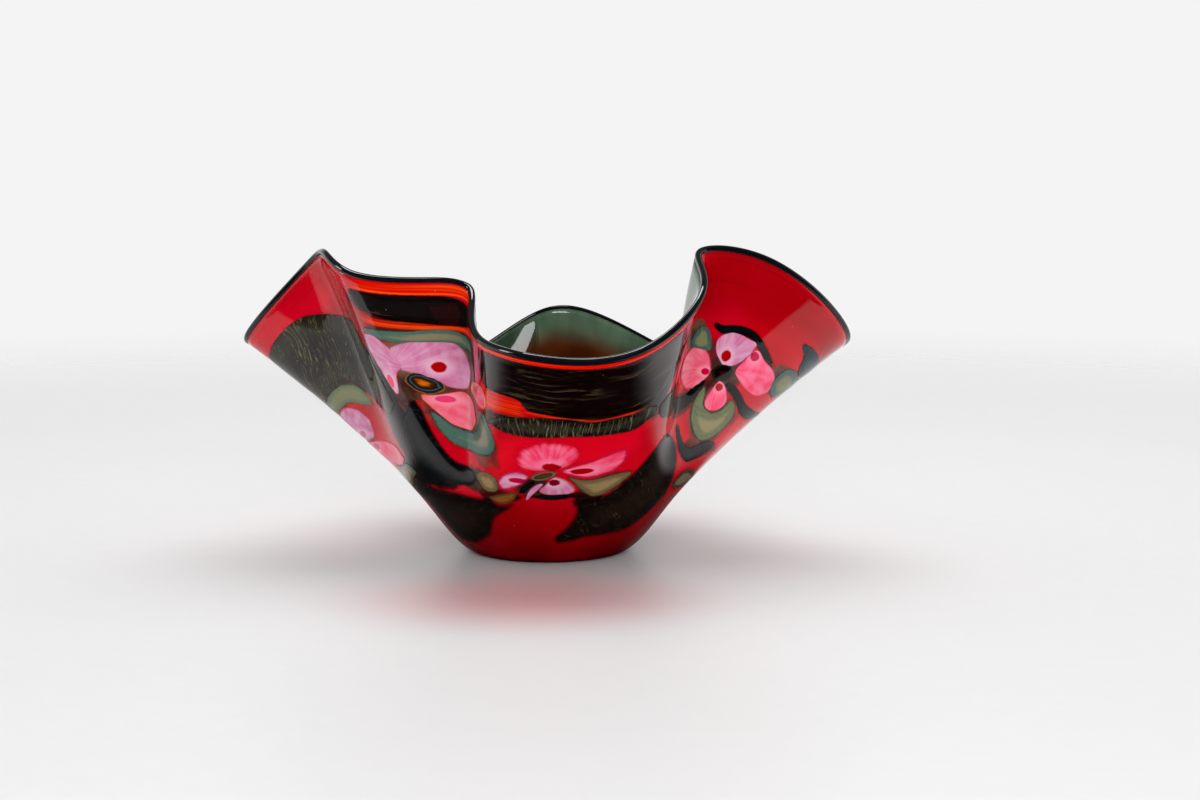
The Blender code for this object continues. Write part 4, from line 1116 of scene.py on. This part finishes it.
lay_leaves([
    ("right_leaf_ring", "teal", lens(
        [(187, 144.5), (179, 139), (178, 131), (188, 123.8), (205, 120.5), (224, 122.8),
         (238, 129), (241, 135.5), (234, 140), (224, 141.5)],
        [(188.5, 139.5), (190, 136), (196, 133.8), (204, 133), (214, 134.2), (221, 137.5)]),
     {"Heart": tint(150, 138, 96), "Body": tint(108, 116, 84), "Rim": tint(30, 36, 34), "Soft": 1.8}),
    ("right_leaf_left", "olive", lens(
        [(166, 163), (172, 167.6), (179, 166.3), (184, 160)],
        [(170, 160.3), (177, 159.6)]),
     {"Heart": tint(120, 122, 80), "Body": tint(60, 92, 88), "Soft": 0.8, "Threads": 0.4}),
    ("right_leaf_right", "olive", lens(
        [(260, 158), (263, 166.4), (277, 169.4), (298, 167)],
        [(272, 155), (286, 157.6)]),
     {"Heart": tint(126, 128, 90), "Body": tint(66, 94, 90), "Soft": 1.6, "Threads": 0.4}),
    ("right_leaf_far", "teal", lens(
        [(257, 180.4), (270, 181.8), (290, 181.5), (306, 177)],
        [(268, 177.8), (275, 172.5), (288, 171.5)]),
     {"Heart": tint(46, 66, 70), "Body": tint(28, 46, 52), "Rim": tint(12, 20, 24), "Soft": 1.0}),
    ("right_stem_top", "black", stroke(
        [(180, 170.5, 0), (189, 168.3, 1), (201, 169.8, 1.1), (216, 170.2, 1.1),
         (234, 166.4, 1.2), (250, 164, 0)]), {"Soft": 0.4}),
    ("right_stem_low", "black", stroke(
        [(209, 147.8, 0), (221, 146.3, 1.3), (235, 143.8, 1.6), (250, 141, 2), (272, 141, 2),
         (297, 145, 0)]), {"Soft": 0.6}),
    ("right_vine", "black", lens(
        [(99, 150), (110, 152.5), (122, 149.5), (142, 142.8), (163, 139.8), (175, 143.6), (186, 148)],
        [(106, 143), (122, 139), (145, 136.6), (163, 135.6), (175, 138.8)]),
     {"Soft": 1.0}),
    ("right_vine_low", "black", stroke(
        [(160, 130, 0), (172, 117, 2), (188, 112, 3.2), (206, 113.5, 4), (224, 116, 3.6),
         (246, 119, 0)]), {"Soft": 1.2}),
    ("right_leaf_low", "tan", lens(
        [(176, 94), (190, 100.8), (210, 102), (235, 100), (262, 96)],
        [(188, 89), (210, 88.5), (235, 90)]),
     {"Heart": tint(120, 104, 80), "Body": tint(60, 54, 46), "Soft": 2.0}),
])

# ---- The back ----
# Two more flowers in the same glass on the back lobes, each over a smoky leaf, and a dark band
# under the back lip.

lay_petals([
    ("back_right_petal_top", "pink", petal((400, 155.5), (402, 181), 20),
     (400.5, 161), (7, 2.8), DARK_RED, MAGENTA, 1.8),
    ("back_right_petal_left", "lilac", petal((385, 150), (345, 143), 9),
     (375, 148.3), (6, 2), DARK_RED, MAGENTA, 1.2),
    ("back_right_petal_right", "lilac", petal((415, 150), (455, 157), 9),
     (425, 151.8), (6, 2), DARK_RED, MAGENTA, 1.2),
    ("back_right_petal_low", "pink", petal((400, 146), (396, 124), 16),
     (399, 141), (5.5, 2.4), tint(140, 0, 30), MAGENTA, 1.4),
    ("back_left_petal_top", "pink", petal((-500, 139.5), (-497, 163), 19),
     (-499.5, 145), (7, 2.8), DARK_RED, MAGENTA, 1.8),
    ("back_left_petal_left", "coral", petal((-515, 134), (-553, 140), 9),
     (-525, 135.5), (6, 2), tint(200, 0, 50), MAGENTA, 1.2),
    ("back_left_petal_right", "lilac", petal((-485, 134), (-446, 128), 9),
     (-475, 132.4), (6, 2), DARK_RED, MAGENTA, 1.2),
])
lay_leaves([
    ("back_right_leaf", "umber", lens(
        [(352, 120), (372, 128), (385, 106), (420, 104), (440, 122), (470, 118), (486, 98)],
        [(350, 96), (366, 70), (400, 56), (440, 62), (468, 74)]), {"Comb": 0.5}),
    ("back_left_leaf", "umber", lens(
        [(-560, 104), (-535, 118), (-500, 126), (-466, 116), (-430, 112), (-412, 92)],
        [(-552, 76), (-520, 60), (-480, 58), (-440, 66)]), {"Comb": -0.4}),
    ("back_shade", "umber", lens(
        [(300, 190), (340, 193), (420, 191), (500, 193), (560, 188)],
        [(335, 184.5), (420, 185.5), (500, 181)]),
     {"Comb": 0.0, "Soft": 1.2, "Swirl": 0.8, "Threads": 0.5}),
])
